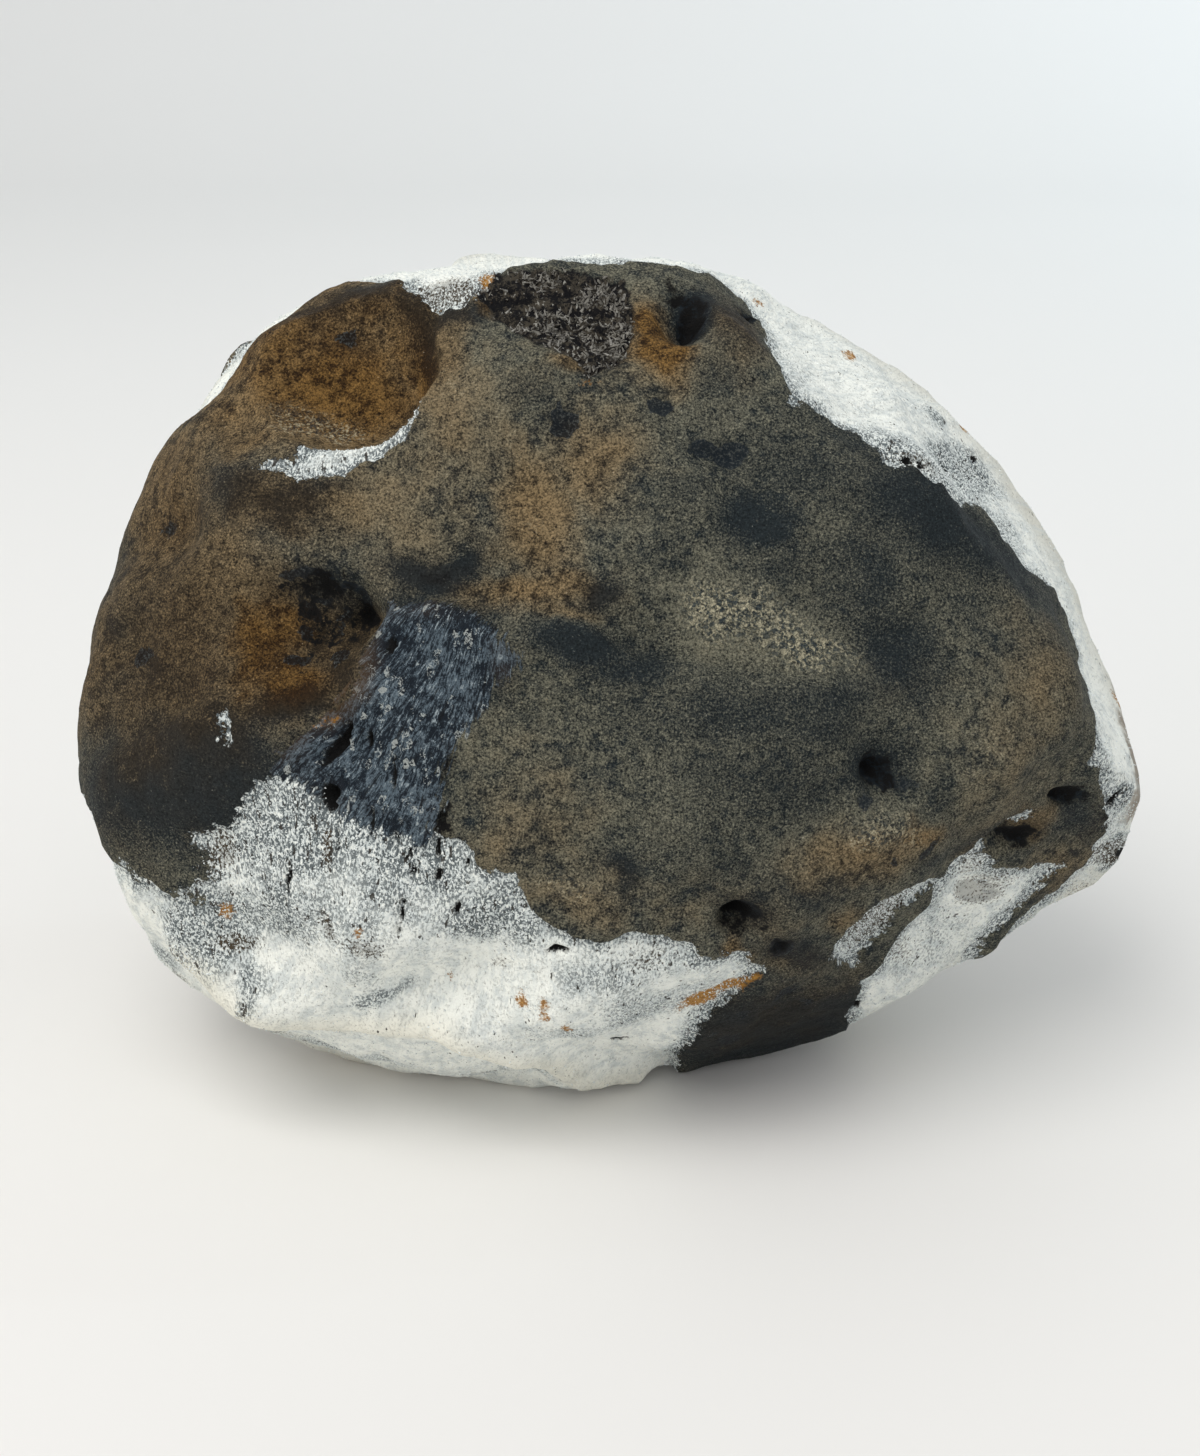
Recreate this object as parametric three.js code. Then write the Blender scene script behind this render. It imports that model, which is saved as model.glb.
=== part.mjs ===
// Quartz geode: one closed nodule, a dark crust over a pale, sugary quartz body, lying on a small flat spot.
// Millimetres, +Z up. The origin is the middle of the flat spot. The broad face looks towards -Y and leans back.
//
// The stone is one star-shaped skin round its centre: each direction has one distance. Places on it are given
// as two angles, degrees to the right of and above the line that stands straight out of the broad face.
// 90 degrees away from that line is the rim, and 180 is the middle of the back.
import * as THREE from "three";
import { mergeVertices } from "three/addons/utils/BufferGeometryUtils.js";

const { clamp, degToRad, smoothstep } = THREE.MathUtils;

// ---- Driving dimensions ----------------------------------------------------------------------------------

const CENTRE = new THREE.Vector3(8, 6, 47.5); // the stone's middle, from the middle of the flat spot
const LEAN = 20;                              // degrees that the broad face leans back
const FRONT = { depth: 37, power: 2.6 };      // how far the broad face stands out, and how boxy it is
const BACK = { depth: 42, power: 2.3 };
const CALM = 22;                              // degrees each way over which the rim's bumps are evened out inside it
const RIM_WIDTH = 0.45;                       // how far from the rim, as a sine, its own bumps reach

// The rim, seen square on to the broad face: right and up of the centre, clockwise from the left end.
const RIM = [
  [-65, -8], [-63, 3], [-59, 15], [-54, 27], [-50, 36], [-43, 43], [-35, 46], [-28, 48], [-21, 49], [-17, 53],
  [-13, 53], [-8, 52], [0, 49], [8, 49], [19, 46], [31, 41], [42, 34], [47, 28], [52, 23], [59, 13],
  [61, 4], [65, -4], [66, -13], [69, -20], [67, -25], [57, -30], [53, -34], [48, -36], [37, -40], [26, -47],
  [17, -50], [9, -52], [-8, -53], [-21, -54], [-31, -52], [-41, -49], [-50, -42], [-57, -35], [-61, -26], [-64, -18],
];

// Flat breaks. at: right and up in degrees; distance from the centre; blend: how rounded the edge is.
const BREAKS = [
  { name: "upper right, high", at: [37, 55], distance: 47.4, blend: 1 },
  { name: "upper right, low", at: [54, 40], distance: 49.8, blend: 1 },
  { name: "right", at: [64, 26], distance: 54.2, blend: 1.2 },
  { name: "right end", at: [76, -16], distance: 67, blend: 1.5 },
  { name: "lower right", at: [32, -42], distance: 46.6, blend: 1 },
  { name: "dark lower", at: [18, -58], distance: 46, blend: 1 },
  { name: "foot", at: [-15, -69], distance: 52.2, blend: 0.8 },
  { name: "left foot", at: [-46, -53], distance: 61.5, blend: 1 },
  { name: "left shoulder", at: [-48, 48], distance: 58.5, blend: 3 },
  { name: "top", at: [-8, 72], distance: 51.2, blend: 1.5 },
  { name: "under, front", at: [4, -104], distance: 49.4, blend: 1.5 },
  { name: "under, right", at: [56, -104], distance: 48.2, blend: 2 },
  { name: "under, left", at: [-68, -100], distance: 53.5, blend: 2 },
  { name: "under, back", at: [2, -130], distance: 48.4, blend: 2 },
  { name: "back crown", at: [10, 124], distance: 41.8, blend: 2.5 },
  { name: "back left", at: [-118, 35], distance: 52.4, blend: 3 },
  { name: "back low left", at: [-116, -66], distance: 48.6, blend: 3 },
  { name: "back plate", at: [150, 45], distance: 40, blend: 2.5 },
  { name: "back right", at: [124, 18], distance: 52.8, blend: 3 },
  { name: "back low right", at: [124, -52], distance: 50, blend: 3 },
];

// Hollows in the broad face. size: half width and half height in degrees; turn: degrees; depth in mm;
// crisp: 0 is a soft dish, 1 a bowl with a sharp lip.
const HOLLOWS = [
  { name: "bowl", at: [-38.5, 44], size: [14, 11.5], turn: 28, depth: 8.5, crisp: 0.85 },
  { name: "bowl run", at: [-54, 38], size: [9, 9], turn: 0, depth: 2, crisp: 0 },
  { name: "bowl notch", at: [-27, 52], size: [3, 3.2], turn: 0, depth: 1.6, crisp: 0.5 },
  { name: "pocket", at: [-43, 7], size: [9.5, 9], turn: 0, depth: 4.6, crisp: 0.35 },
  { name: "pocket throat", at: [-40, 9], size: [5, 6], turn: 25, depth: 2.8, crisp: 0.15 },
  { name: "left dish", at: [-62, 19], size: [9, 8], turn: 0, depth: 1.6, crisp: 0 },
  { name: "left low dish", at: [-66, 3], size: [6, 6], turn: 0, depth: 0.9, crisp: 0 },
  { name: "saddle", at: [-15, 15], size: [17, 8], turn: 10, depth: 1.5, crisp: 0 },
  { name: "upper dish", at: [-12, 32], size: [14, 10], turn: 0, depth: 0.9, crisp: 0 },
  { name: "dark valley", at: [38, 3], size: [12, 5], turn: 30, depth: 1.3, crisp: 0 },
  { name: "right dish", at: [43, -16], size: [12, 9], turn: 0, depth: 1.3, crisp: 0 },
  { name: "right dimple", at: [40.8, -15.8], size: [3.4, 4.2], turn: 20, depth: 2.4, crisp: 0 },
  { name: "low hole", at: [20, -38], size: [4.2, 3], turn: 20, depth: 3, crisp: 0.1 },
  { name: "low hole dish", at: [20, -42], size: [7, 6], turn: 0, depth: 1.4, crisp: 0 },
  { name: "end hole", at: [69.5, -18.8], size: [3.2, 2.2], turn: 0, depth: 2.4, crisp: 0.1 },
  { name: "ear hole", at: [63.5, -26], size: [5, 3.4], turn: 35, depth: 2.6, crisp: 0.1 },
  { name: "ear hollow", at: [63, -37], size: [3.6, 3], turn: 0, depth: 1.6, crisp: 0.5 },
  { name: "top pocket", at: [12, 54.5], size: [5.5, 5.5], turn: -30, depth: 3.8, crisp: 0.15 },
  { name: "round pit", at: [-6.5, 38.2], size: [2.6, 2.6], turn: 0, depth: 1.1, crisp: 0.5 },
  { name: "shallow pit", at: [7.5, 41], size: [2.8, 1.9], turn: 0, depth: 0.6, crisp: 0.5 },
  { name: "long pit", at: [17, 34], size: [5.5, 2.1], turn: 0, depth: 0.8, crisp: 0.4 },
  { name: "foot scoop", at: [-22, -48], size: [19, 10], turn: 0, depth: 3.6, crisp: 0 },
  { name: "heel scoop", at: [-49, -38], size: [12, 9], turn: -30, depth: 2.4, crisp: 0 },
  { name: "foot groove", at: [-32, -46], size: [4, 9], turn: 10, depth: 1, crisp: 0 },
  { name: "crystal bed", at: [-7, 54], size: [13, 8], turn: 0, depth: 0.9, crisp: 0.7 },
];

// Dents in the back and sides. size: how far each reaches, in degrees; depth in mm.
const BACK_DENTS = [
  { at: [104, 56], size: 17, depth: 2.2 },
  { at: [-142, -18], size: 20, depth: 2.4 },
  { at: [52, 128], size: 14, depth: 1.8 },
  { at: [128, -78], size: 18, depth: 2.2 },
  { at: [-84, 96], size: 15, depth: 2 },
  { at: [170, 8], size: 12, depth: 1.6 },
];

// Ledges: the crust below a crest line stands out. crest: right and up in degrees, left to right;
// height in mm; rise and runOut: degrees; ends: degrees over which the left and the right end fade.
const LEDGES = [
  {
    name: "main ledge", height: 1.7, rise: 3.4, runOut: 30, ends: [4, 32],
    crest: [
      [-40, 2], [-34, 8.5], [-28, 10.8], [-22, 9.8], [-17.5, 5.5], [-13, 5.4], [-8, 8], [-3, 7.5],
      [1, 4], [6, 1.6], [14, 1.2], [22, -1.5], [29, -1.5], [36, 3], [44, 10],
    ],
  },
  {
    name: "left ledge", height: 1.3, rise: 3, runOut: 24, ends: [10, 5],
    crest: [[-82, -16], [-74, -12], [-66, -11], [-59, -7], [-53, -3.5], [-48, -4], [-44, -7.5], [-38, -12]],
  },
];

// Lumps: waves per 100 mm along right, up and out; phase in radians; height in mm.
const LUMPS = [
  { waves: [2.1, 1.3, 3.0], phase: 0.4, height: 0.55 },
  { waves: [-3.2, 2.2, 1.7], phase: 2.1, height: 0.45 },
  { waves: [1.5, -3.9, 2.9], phase: 4.0, height: 0.4 },
  { waves: [4.6, 3.1, -2.2], phase: 1.1, height: 0.3 },
  { waves: [-5.4, 4.4, 4.9], phase: 5.2, height: 0.22 },
  { waves: [6.8, -3.5, 6.1], phase: 0.9, height: 0.18 },
  { waves: [3.3, 8.2, -6.0], phase: 3.3, height: 0.16 },
  { waves: [-8.8, -5.1, 7.3], phase: 2.6, height: 0.13 },
];

// The mesh: an icosahedron's edges are cut into FINENESS + 1, and its points are drawn towards the broad face.
const FINENESS = 20;
const SPREAD = 1.25;
const SHIFT = 0.3;

// ---- The rim and the body --------------------------------------------------------------------------------

const TURN = 2 * Math.PI;

// The rim as clock angle and distance, turned to run anticlockwise from its last point.
const rimPoints = [...RIM]
  .map(([right, up]) => ({ angle: Math.atan2(up, right), distance: Math.hypot(right, up) }))
  .sort((a, b) => a.angle - b.angle);

function rimPoint(index) {
  const count = rimPoints.length;
  const lap = Math.floor(index / count);
  const point = rimPoints[index - lap * count];
  return { angle: point.angle + lap * TURN, distance: point.distance };
}

// The rim's distance from the centre at a clock angle: a smooth curve through the rim's points.
function rimDistance(angle) {
  const first = rimPoints[0].angle;
  const wanted = first + ((((angle - first) % TURN) + TURN) % TURN);
  let index = rimPoints.findIndex((point) => point.angle > wanted) - 1;
  if (index < 0) {
    index = rimPoints.length - 1;
  }
  const [before, start, end, after] = [-1, 0, 1, 2].map((step) => rimPoint(index + step));
  const span = end.angle - start.angle;
  const slopeIn = (end.distance - before.distance) / (end.angle - before.angle);
  const slopeOut = (after.distance - start.distance) / (after.angle - start.angle);
  const t = (wanted - start.angle) / span;
  const t2 = t * t;
  const t3 = t2 * t;
  return (
    (2 * t3 - 3 * t2 + 1) * start.distance +
    (t3 - 2 * t2 + t) * span * slopeIn +
    (3 * t2 - 2 * t3) * end.distance +
    (t3 - t2) * span * slopeOut
  );
}

function calmRimDistance(angle) {
  let sum = 0;
  let count = 0;
  for (let step = -CALM; step <= CALM; step += 2) {
    sum += rimDistance(angle + degToRad(step));
    count += 1;
  }
  return sum / count;
}

// A unit direction from its two angles; x is right, y is up, z is out of the broad face.
function direction([right, up]) {
  const away = degToRad(Math.hypot(right, up));
  const clock = Math.atan2(up, right);
  return new THREE.Vector3(Math.sin(away) * Math.cos(clock), Math.sin(away) * Math.sin(clock), Math.cos(away));
}

function angles(dir) {
  const away = (Math.acos(clamp(dir.z, -1, 1)) * 180) / Math.PI;
  const clock = Math.atan2(dir.y, dir.x);
  return [away * Math.cos(clock), away * Math.sin(clock)];
}

// The smaller of two distances, rounded where they are nearly alike.
function softMin(a, b, blend) {
  const h = clamp(0.5 + (0.5 * (b - a)) / blend, 0, 1);
  return b * (1 - h) + a * h - blend * h * (1 - h);
}

const breakPlanes = BREAKS.map((flat) => ({ ...flat, normal: direction(flat.at) }));
const backDents = BACK_DENTS.map((dent) => ({ ...dent, towards: direction(dent.at) }));

function bodyDistance(dir) {
  const clock = Math.atan2(dir.y, dir.x);
  const across = Math.hypot(dir.x, dir.y);
  const nearRim = smoothstep(1 - Math.abs(dir.z) / RIM_WIDTH, 0, 1);
  const rim = calmRimDistance(clock) * (1 - nearRim) + rimDistance(clock) * nearRim;
  const { depth, power } = dir.z > 0 ? FRONT : BACK;
  let distance = ((Math.abs(dir.z) / depth) ** power + (across / rim) ** power) ** (-1 / power);
  for (const flat of breakPlanes) {
    const facing = dir.dot(flat.normal);
    if (facing > 0.05) {
      distance = softMin(distance, flat.distance / facing, flat.blend);
    }
  }
  return distance;
}

// ---- Relief ----------------------------------------------------------------------------------------------

function hollowDepth([right, up], hollow) {
  const turn = degToRad(hollow.turn);
  const dx = right - hollow.at[0];
  const dy = up - hollow.at[1];
  const along = (dx * Math.cos(turn) + dy * Math.sin(turn)) / hollow.size[0];
  const over = (dy * Math.cos(turn) - dx * Math.sin(turn)) / hollow.size[1];
  const away = along * along + over * over;
  const dish = Math.exp(-2.2 * away);
  const bowl = clamp(1 - away, 0, 1) ** 0.75;
  return hollow.depth * (hollow.crisp * bowl + (1 - hollow.crisp) * dish);
}

function dentDepth(dir, dent) {
  const away = Math.acos(clamp(dir.dot(dent.towards), -1, 1)) / degToRad(dent.size);
  return dent.depth * Math.exp(-2.2 * away * away);
}

function crestHeight(right, crest) {
  const next = crest.findIndex((point) => point[0] > right);
  if (next < 1) {
    return next === 0 ? crest[0][1] : crest.at(-1)[1];
  }
  const [[x0, y0], [x1, y1]] = [crest[next - 1], crest[next]];
  return y0 + ((y1 - y0) * (right - x0)) / (x1 - x0);
}

function ledgeHeight([right, up], ledge) {
  const below = crestHeight(right, ledge.crest) - up;
  const step = smoothstep(below / ledge.rise + 0.5, 0, 1);
  const left = smoothstep((right - ledge.crest[0][0]) / ledge.ends[0], 0, 1);
  const far = smoothstep((ledge.crest.at(-1)[0] - right) / ledge.ends[1], 0, 1);
  return ledge.height * step * left * far * Math.exp(-Math.max(below, 0) / ledge.runOut);
}

function lumpHeight(point, lump) {
  const [x, y, z] = lump.waves;
  const waves = (point.x * x + point.y * y + point.z * z) / 100;
  return lump.height * Math.sin(TURN * waves + lump.phase);
}

// The skin's distance from the centre in one direction.
function skinDistance(dir) {
  const body = bodyDistance(dir);
  const place = angles(dir);
  const onFace = smoothstep((dir.z - 0.1) / 0.25, 0, 1);
  const calmRim = 1 - 0.5 * clamp(1 - Math.abs(dir.z) / 0.35, 0, 1);
  const point = dir.clone().multiplyScalar(body);
  let distance = body;
  for (const hollow of HOLLOWS) {
    distance -= onFace * hollowDepth(place, hollow);
  }
  for (const dent of backDents) {
    distance -= dentDepth(dir, dent);
  }
  for (const ledge of LEDGES) {
    distance += onFace * ledgeHeight(place, ledge);
  }
  for (const lump of LUMPS) {
    distance += calmRim * lumpHeight(point, lump);
  }
  return distance;
}

// ---- The solid -------------------------------------------------------------------------------------------

// Face directions in the stone's own frame: x right, y up along the face, z out of it.
const faceToStone = new THREE.Matrix4().makeRotationX(degToRad(90 - LEAN)).setPosition(CENTRE);

function stoneGeometry() {
  const ball = new THREE.IcosahedronGeometry(1, FINENESS);
  ball.deleteAttribute("normal");
  ball.deleteAttribute("uv");
  const geometry = mergeVertices(ball);
  const points = geometry.attributes.position;
  const point = new THREE.Vector3();
  for (let i = 0; i < points.count; i += 1) {
    point.fromBufferAttribute(points, i);
    const dir = new THREE.Vector3(point.x * SPREAD, point.y * SPREAD, point.z + SHIFT).normalize();
    point.copy(dir).multiplyScalar(skinDistance(dir)).applyMatrix4(faceToStone);
    points.setXYZ(i, point.x, point.y, Math.max(point.z, 0)); // the flat spot is the ground plane
  }
  geometry.computeVertexNormals();
  return geometry;
}

const crust = new THREE.MeshStandardMaterial({ color: 0x4d443a, roughness: 0.85, metalness: 0 });

const geode = new THREE.Mesh(stoneGeometry(), crust);
geode.name = "geode";

const part = new THREE.Group();
part.add(geode);

export default part;
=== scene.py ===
"""Quartz geode: a closed nodule with a dark pitted crust, broken back to a pale sugary quartz body."""
from math import atan2, cos, pi, radians, sin, sqrt, tau

import bpy
import numpy as np
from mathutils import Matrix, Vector, noise


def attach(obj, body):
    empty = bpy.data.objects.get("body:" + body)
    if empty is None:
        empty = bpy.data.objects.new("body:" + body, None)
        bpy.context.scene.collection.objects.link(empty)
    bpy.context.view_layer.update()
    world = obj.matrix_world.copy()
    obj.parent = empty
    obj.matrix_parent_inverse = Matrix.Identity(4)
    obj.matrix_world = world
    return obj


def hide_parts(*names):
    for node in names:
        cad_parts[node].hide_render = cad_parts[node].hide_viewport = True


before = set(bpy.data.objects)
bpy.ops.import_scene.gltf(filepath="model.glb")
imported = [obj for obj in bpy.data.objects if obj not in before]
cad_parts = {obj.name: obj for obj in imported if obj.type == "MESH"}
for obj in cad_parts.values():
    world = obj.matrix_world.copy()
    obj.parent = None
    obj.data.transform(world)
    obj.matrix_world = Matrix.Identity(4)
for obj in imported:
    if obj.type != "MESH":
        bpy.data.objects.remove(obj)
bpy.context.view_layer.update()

MM = 0.001

# ---- The stone's form, with the same named values as the part's source, in millimetres and degrees ----

CENTRE = np.array([8.0, 6.0, 47.5])
LEAN = radians(20)  # how far the broad face leans back
FACE = np.array([[1, 0, 0], [0, sin(LEAN), cos(LEAN)], [0, -cos(LEAN), sin(LEAN)]])  # right, up, out
FRONT_DEPTH, FRONT_POWER = 37, 2.6
BACK_DEPTH, BACK_POWER = 42, 2.3
CALM = 22
RIM_WIDTH = 0.45

RIM = [
    (-65, -8), (-63, 3), (-59, 15), (-54, 27), (-50, 36), (-43, 43), (-35, 46), (-28, 48), (-21, 49),
    (-17, 53), (-13, 53), (-8, 52), (0, 49), (8, 49), (19, 46), (31, 41), (42, 34), (47, 28), (52, 23),
    (59, 13), (61, 4), (65, -4), (66, -13), (69, -20), (67, -25), (57, -30), (53, -34), (48, -36), (37, -40),
    (26, -47), (17, -50), (9, -52), (-8, -53), (-21, -54), (-31, -52), (-41, -49), (-50, -42), (-57, -35),
    (-61, -26), (-64, -18),
]

# Flat breaks: right, up, distance from the centre, rounding of the edge.
BREAKS = [
    (37, 55, 47.4, 1), (54, 40, 49.8, 1), (64, 26, 54.2, 1.2), (76, -16, 67, 1.5), (32, -42, 46.6, 1),
    (18, -58, 46, 1), (-15, -69, 52.2, 0.8), (-46, -53, 61.5, 1), (-48, 48, 58.5, 3), (-8, 72, 51.2, 1.5),
    (4, -104, 49.4, 1.5), (56, -104, 48.2, 2), (-68, -100, 53.5, 2), (2, -130, 48.4, 2), (10, 124, 41.8, 2.5),
    (-118, 35, 52.4, 3), (-116, -66, 48.6, 3), (150, 45, 40, 2.5), (124, 18, 52.8, 3), (124, -52, 50, 3),
]

# Hollows: right, up, half width, half height, turn, depth, crispness of the lip.
HOLLOWS = {
    "bowl": (-38.5, 44, 14, 11.5, 28, 8.5, 0.85),
    "bowl run": (-54, 38, 9, 9, 0, 2, 0),
    "bowl notch": (-27, 52, 3, 3.2, 0, 1.6, 0.5),
    "pocket": (-43, 7, 9.5, 9, 0, 4.6, 0.35),
    "pocket throat": (-40, 9, 5, 6, 25, 2.8, 0.15),
    "left dish": (-62, 19, 9, 8, 0, 1.6, 0),
    "left low dish": (-66, 3, 6, 6, 0, 0.9, 0),
    "saddle": (-15, 15, 17, 8, 10, 1.5, 0),
    "upper dish": (-12, 32, 14, 10, 0, 0.9, 0),
    "dark valley": (38, 3, 12, 5, 30, 1.3, 0),
    "right dish": (43, -16, 12, 9, 0, 1.3, 0),
    "right dimple": (40.8, -15.8, 3.4, 4.2, 20, 2.4, 0),
    "low hole": (20, -38, 4.2, 3, 20, 3, 0.1),
    "low hole dish": (20, -42, 7, 6, 0, 1.4, 0),
    "end hole": (69.5, -18.8, 3.2, 2.2, 0, 2.4, 0.1),
    "ear hole": (63.5, -26, 5, 3.4, 35, 2.6, 0.1),
    "ear hollow": (63, -37, 3.6, 3, 0, 1.6, 0.5),
    "top pocket": (12, 54.5, 5.5, 5.5, -30, 3.8, 0.15),
    "round pit": (-6.5, 38.2, 2.6, 2.6, 0, 1.1, 0.5),
    "shallow pit": (7.5, 41, 2.8, 1.9, 0, 0.6, 0.5),
    "long pit": (17, 34, 5.5, 2.1, 0, 0.8, 0.4),
    "foot scoop": (-22, -48, 19, 10, 0, 3.6, 0),
    "heel scoop": (-49, -38, 12, 9, -30, 2.4, 0),
    "foot groove": (-32, -46, 4, 9, 10, 1, 0),
    "crystal bed": (-7, 54, 13, 8, 0, 0.9, 0.7),
}

# Dents in the back and sides: right, up, reach, depth.
BACK_DENTS = [
    (104, 56, 17, 2.2), (-142, -18, 20, 2.4), (52, 128, 14, 1.8), (128, -78, 18, 2.2), (-84, 96, 15, 2),
    (170, 8, 12, 1.6),
]

# Ledges: height, rise, run-out, how the left and right ends fade, crest line.
LEDGES = [
    (1.7, 3.4, 30, 4, 32, [
        (-40, 2), (-34, 8.5), (-28, 10.8), (-22, 9.8), (-17.5, 5.5), (-13, 5.4), (-8, 8), (-3, 7.5), (1, 4),
        (6, 1.6), (14, 1.2), (22, -1.5), (29, -1.5), (36, 3), (44, 10)]),
    (1.3, 3, 24, 10, 5, [
        (-82, -16), (-74, -12), (-66, -11), (-59, -7), (-53, -3.5), (-48, -4), (-44, -7.5), (-38, -12)]),
]

# Lumps: waves per 100 mm along right, up and out, phase, height.
LUMPS = [
    (2.1, 1.3, 3.0, 0.4, 0.55), (-3.2, 2.2, 1.7, 2.1, 0.45), (1.5, -3.9, 2.9, 4.0, 0.4),
    (4.6, 3.1, -2.2, 1.1, 0.3), (-5.4, 4.4, 4.9, 5.2, 0.22), (6.8, -3.5, 6.1, 0.9, 0.18),
    (3.3, 8.2, -6.0, 3.3, 0.16), (-8.8, -5.1, 7.3, 2.6, 0.13),
]

SPREAD, SHIFT = 1.25, 0.3  # the mesh is finer on the broad face
FINENESS = 98  # cuts along an icosahedron's edge
FALLOFF = 2.2  # leaves a ninth of a soft hollow's depth at its edge


def smoothstep(x, low=0.0, high=1.0):
    t = np.clip((x - low) / (high - low), 0, 1)
    return t * t * (3 - 2 * t)


def direction(right, up):
    """Unit directions in the face frame from degrees right of and above the face's own line."""
    away = np.radians(np.hypot(right, up))
    clock = np.arctan2(up, right)
    return np.stack([np.sin(away) * np.cos(clock), np.sin(away) * np.sin(clock), np.cos(away)], -1)


def angles(dirs):
    away = np.degrees(np.arccos(np.clip(dirs[:, 2], -1, 1)))
    clock = np.arctan2(dirs[:, 1], dirs[:, 0])
    return away * np.cos(clock), away * np.sin(clock)


def rim_distance(clock):
    """A smooth closed curve through the rim's points: distance by clock angle."""
    rim = sorted((atan2(up, right), sqrt(right * right + up * up)) for right, up in RIM)
    at = np.array([a for a, _ in rim])
    far = np.array([d for _, d in rim])
    at = np.concatenate([at - tau, at, at + tau])
    far = np.tile(far, 3)
    clock = (clock - at[len(RIM)]) % tau + at[len(RIM)]
    i = np.searchsorted(at, clock, side="right") - 1
    span = at[i + 1] - at[i]
    slope_in = (far[i + 1] - far[i - 1]) / (at[i + 1] - at[i - 1])
    slope_out = (far[i + 2] - far[i]) / (at[i + 2] - at[i])
    t = (clock - at[i]) / span
    return ((2 * t**3 - 3 * t**2 + 1) * far[i] + (t**3 - 2 * t**2 + t) * span * slope_in
            + (3 * t**2 - 2 * t**3) * far[i + 1] + (t**3 - t**2) * span * slope_out)


def body_distance(dirs):
    clock = np.arctan2(dirs[:, 1], dirs[:, 0])
    out = np.abs(dirs[:, 2])
    near_rim = smoothstep(1 - out / RIM_WIDTH)
    calm = np.mean([rim_distance(clock + radians(step)) for step in range(-CALM, CALM + 1, 2)], axis=0)
    rim = calm * (1 - near_rim) + rim_distance(clock) * near_rim
    front = dirs[:, 2] > 0
    depth = np.where(front, FRONT_DEPTH, BACK_DEPTH)
    power = np.where(front, FRONT_POWER, BACK_POWER)
    far = ((out / depth) ** power + (np.hypot(dirs[:, 0], dirs[:, 1]) / rim) ** power) ** (-1 / power)
    for right, up, distance, blend in BREAKS:
        facing = dirs @ direction(right, up)
        flat = np.where(facing > 0.05, distance / np.maximum(facing, 0.05), 1000)
        h = np.clip(0.5 + 0.5 * (flat - far) / blend, 0, 1)
        far = flat * (1 - h) + far * h - blend * h * (1 - h)
    return far


def ellipse(place, right, up, width, height, turn=0):
    """Squared distance from the middle of an ellipse, 1 on its edge."""
    dx, dy = place[0] - right, place[1] - up
    c, s = cos(radians(turn)), sin(radians(turn))
    return ((dx * c + dy * s) / width) ** 2 + ((dy * c - dx * s) / height) ** 2


def hollow_depth(place, right, up, width, height, turn, depth, crisp):
    away = ellipse(place, right, up, width, height, turn)
    return depth * (crisp * np.clip(1 - away, 0, 1) ** 0.75 + (1 - crisp) * np.exp(-FALLOFF * away))


def skin_distance(dirs):
    far = body_distance(dirs)
    place = angles(dirs)
    on_face = smoothstep((dirs[:, 2] - 0.1) / 0.25)
    calm_rim = 1 - 0.5 * np.clip(1 - np.abs(dirs[:, 2]) / 0.35, 0, 1)
    points = dirs * far[:, None]
    for hollow in HOLLOWS.values():
        far = far - on_face * hollow_depth(place, *hollow)
    for right, up, reach, depth in BACK_DENTS:
        away = np.arccos(np.clip(dirs @ direction(right, up), -1, 1)) / radians(reach)
        far = far - depth * np.exp(-FALLOFF * away * away)
    for height, rise, run_out, left_end, right_end, crest in LEDGES:
        along, level = np.array(crest, float).T
        below = np.interp(place[0], along, level) - place[1]
        ends = smoothstep((place[0] - along[0]) / left_end) * smoothstep((along[-1] - place[0]) / right_end)
        step = smoothstep(below / rise + 0.5) * np.exp(-np.maximum(below, 0) / run_out)
        far = far + on_face * height * step * ends
    for x, y, z, phase, height in LUMPS:
        far = far + calm_rim * height * np.sin(tau * (points @ np.array([x, y, z])) / 100 + phase)
    return far


def ball_mesh(cuts):
    """Unit directions and triangles of an icosahedron with each edge cut into equal lengths."""
    g = (1 + sqrt(5)) / 2
    corner = np.array([
        (-1, g, 0), (1, g, 0), (-1, -g, 0), (1, -g, 0), (0, -1, g), (0, 1, g),
        (0, -1, -g), (0, 1, -g), (g, 0, -1), (g, 0, 1), (-g, 0, -1), (-g, 0, 1)])
    sides = [
        (0, 11, 5), (0, 5, 1), (0, 1, 7), (0, 7, 10), (0, 10, 11), (1, 5, 9), (5, 11, 4), (11, 10, 2),
        (10, 7, 6), (7, 1, 8), (3, 9, 4), (3, 4, 2), (3, 2, 6), (3, 6, 8), (3, 8, 9), (4, 9, 5),
        (2, 4, 11), (6, 2, 10), (8, 6, 7), (9, 8, 1)]
    weights = np.array([(cuts - i, i - j, j) for i in range(cuts + 1) for j in range(i + 1)]) / cuts
    row = [i * (i + 1) // 2 for i in range(cuts + 2)]
    pattern = []
    for i in range(cuts):
        for j in range(i + 1):
            pattern.append((row[i] + j, row[i + 1] + j, row[i + 1] + j + 1))
            if j < i:
                pattern.append((row[i] + j, row[i + 1] + j + 1, row[i] + j + 1))
    points = np.concatenate([weights @ corner[list(side)] for side in sides])
    triangles = np.concatenate([np.array(pattern) + k * len(weights) for k in range(len(sides))])
    points /= np.linalg.norm(points, axis=1)[:, None]
    _, first, merged = np.unique(np.round(points * 1e6).astype(np.int64), axis=0,
                                 return_index=True, return_inverse=True)
    return points[first], merged.ravel()[triangles]


# ---- Where the crust, the breaks and the stains lie: right and up in degrees, read like a map ----
# Outlines go round their shape. The longer lists of spots go from left to right, each part from the top down.

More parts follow.
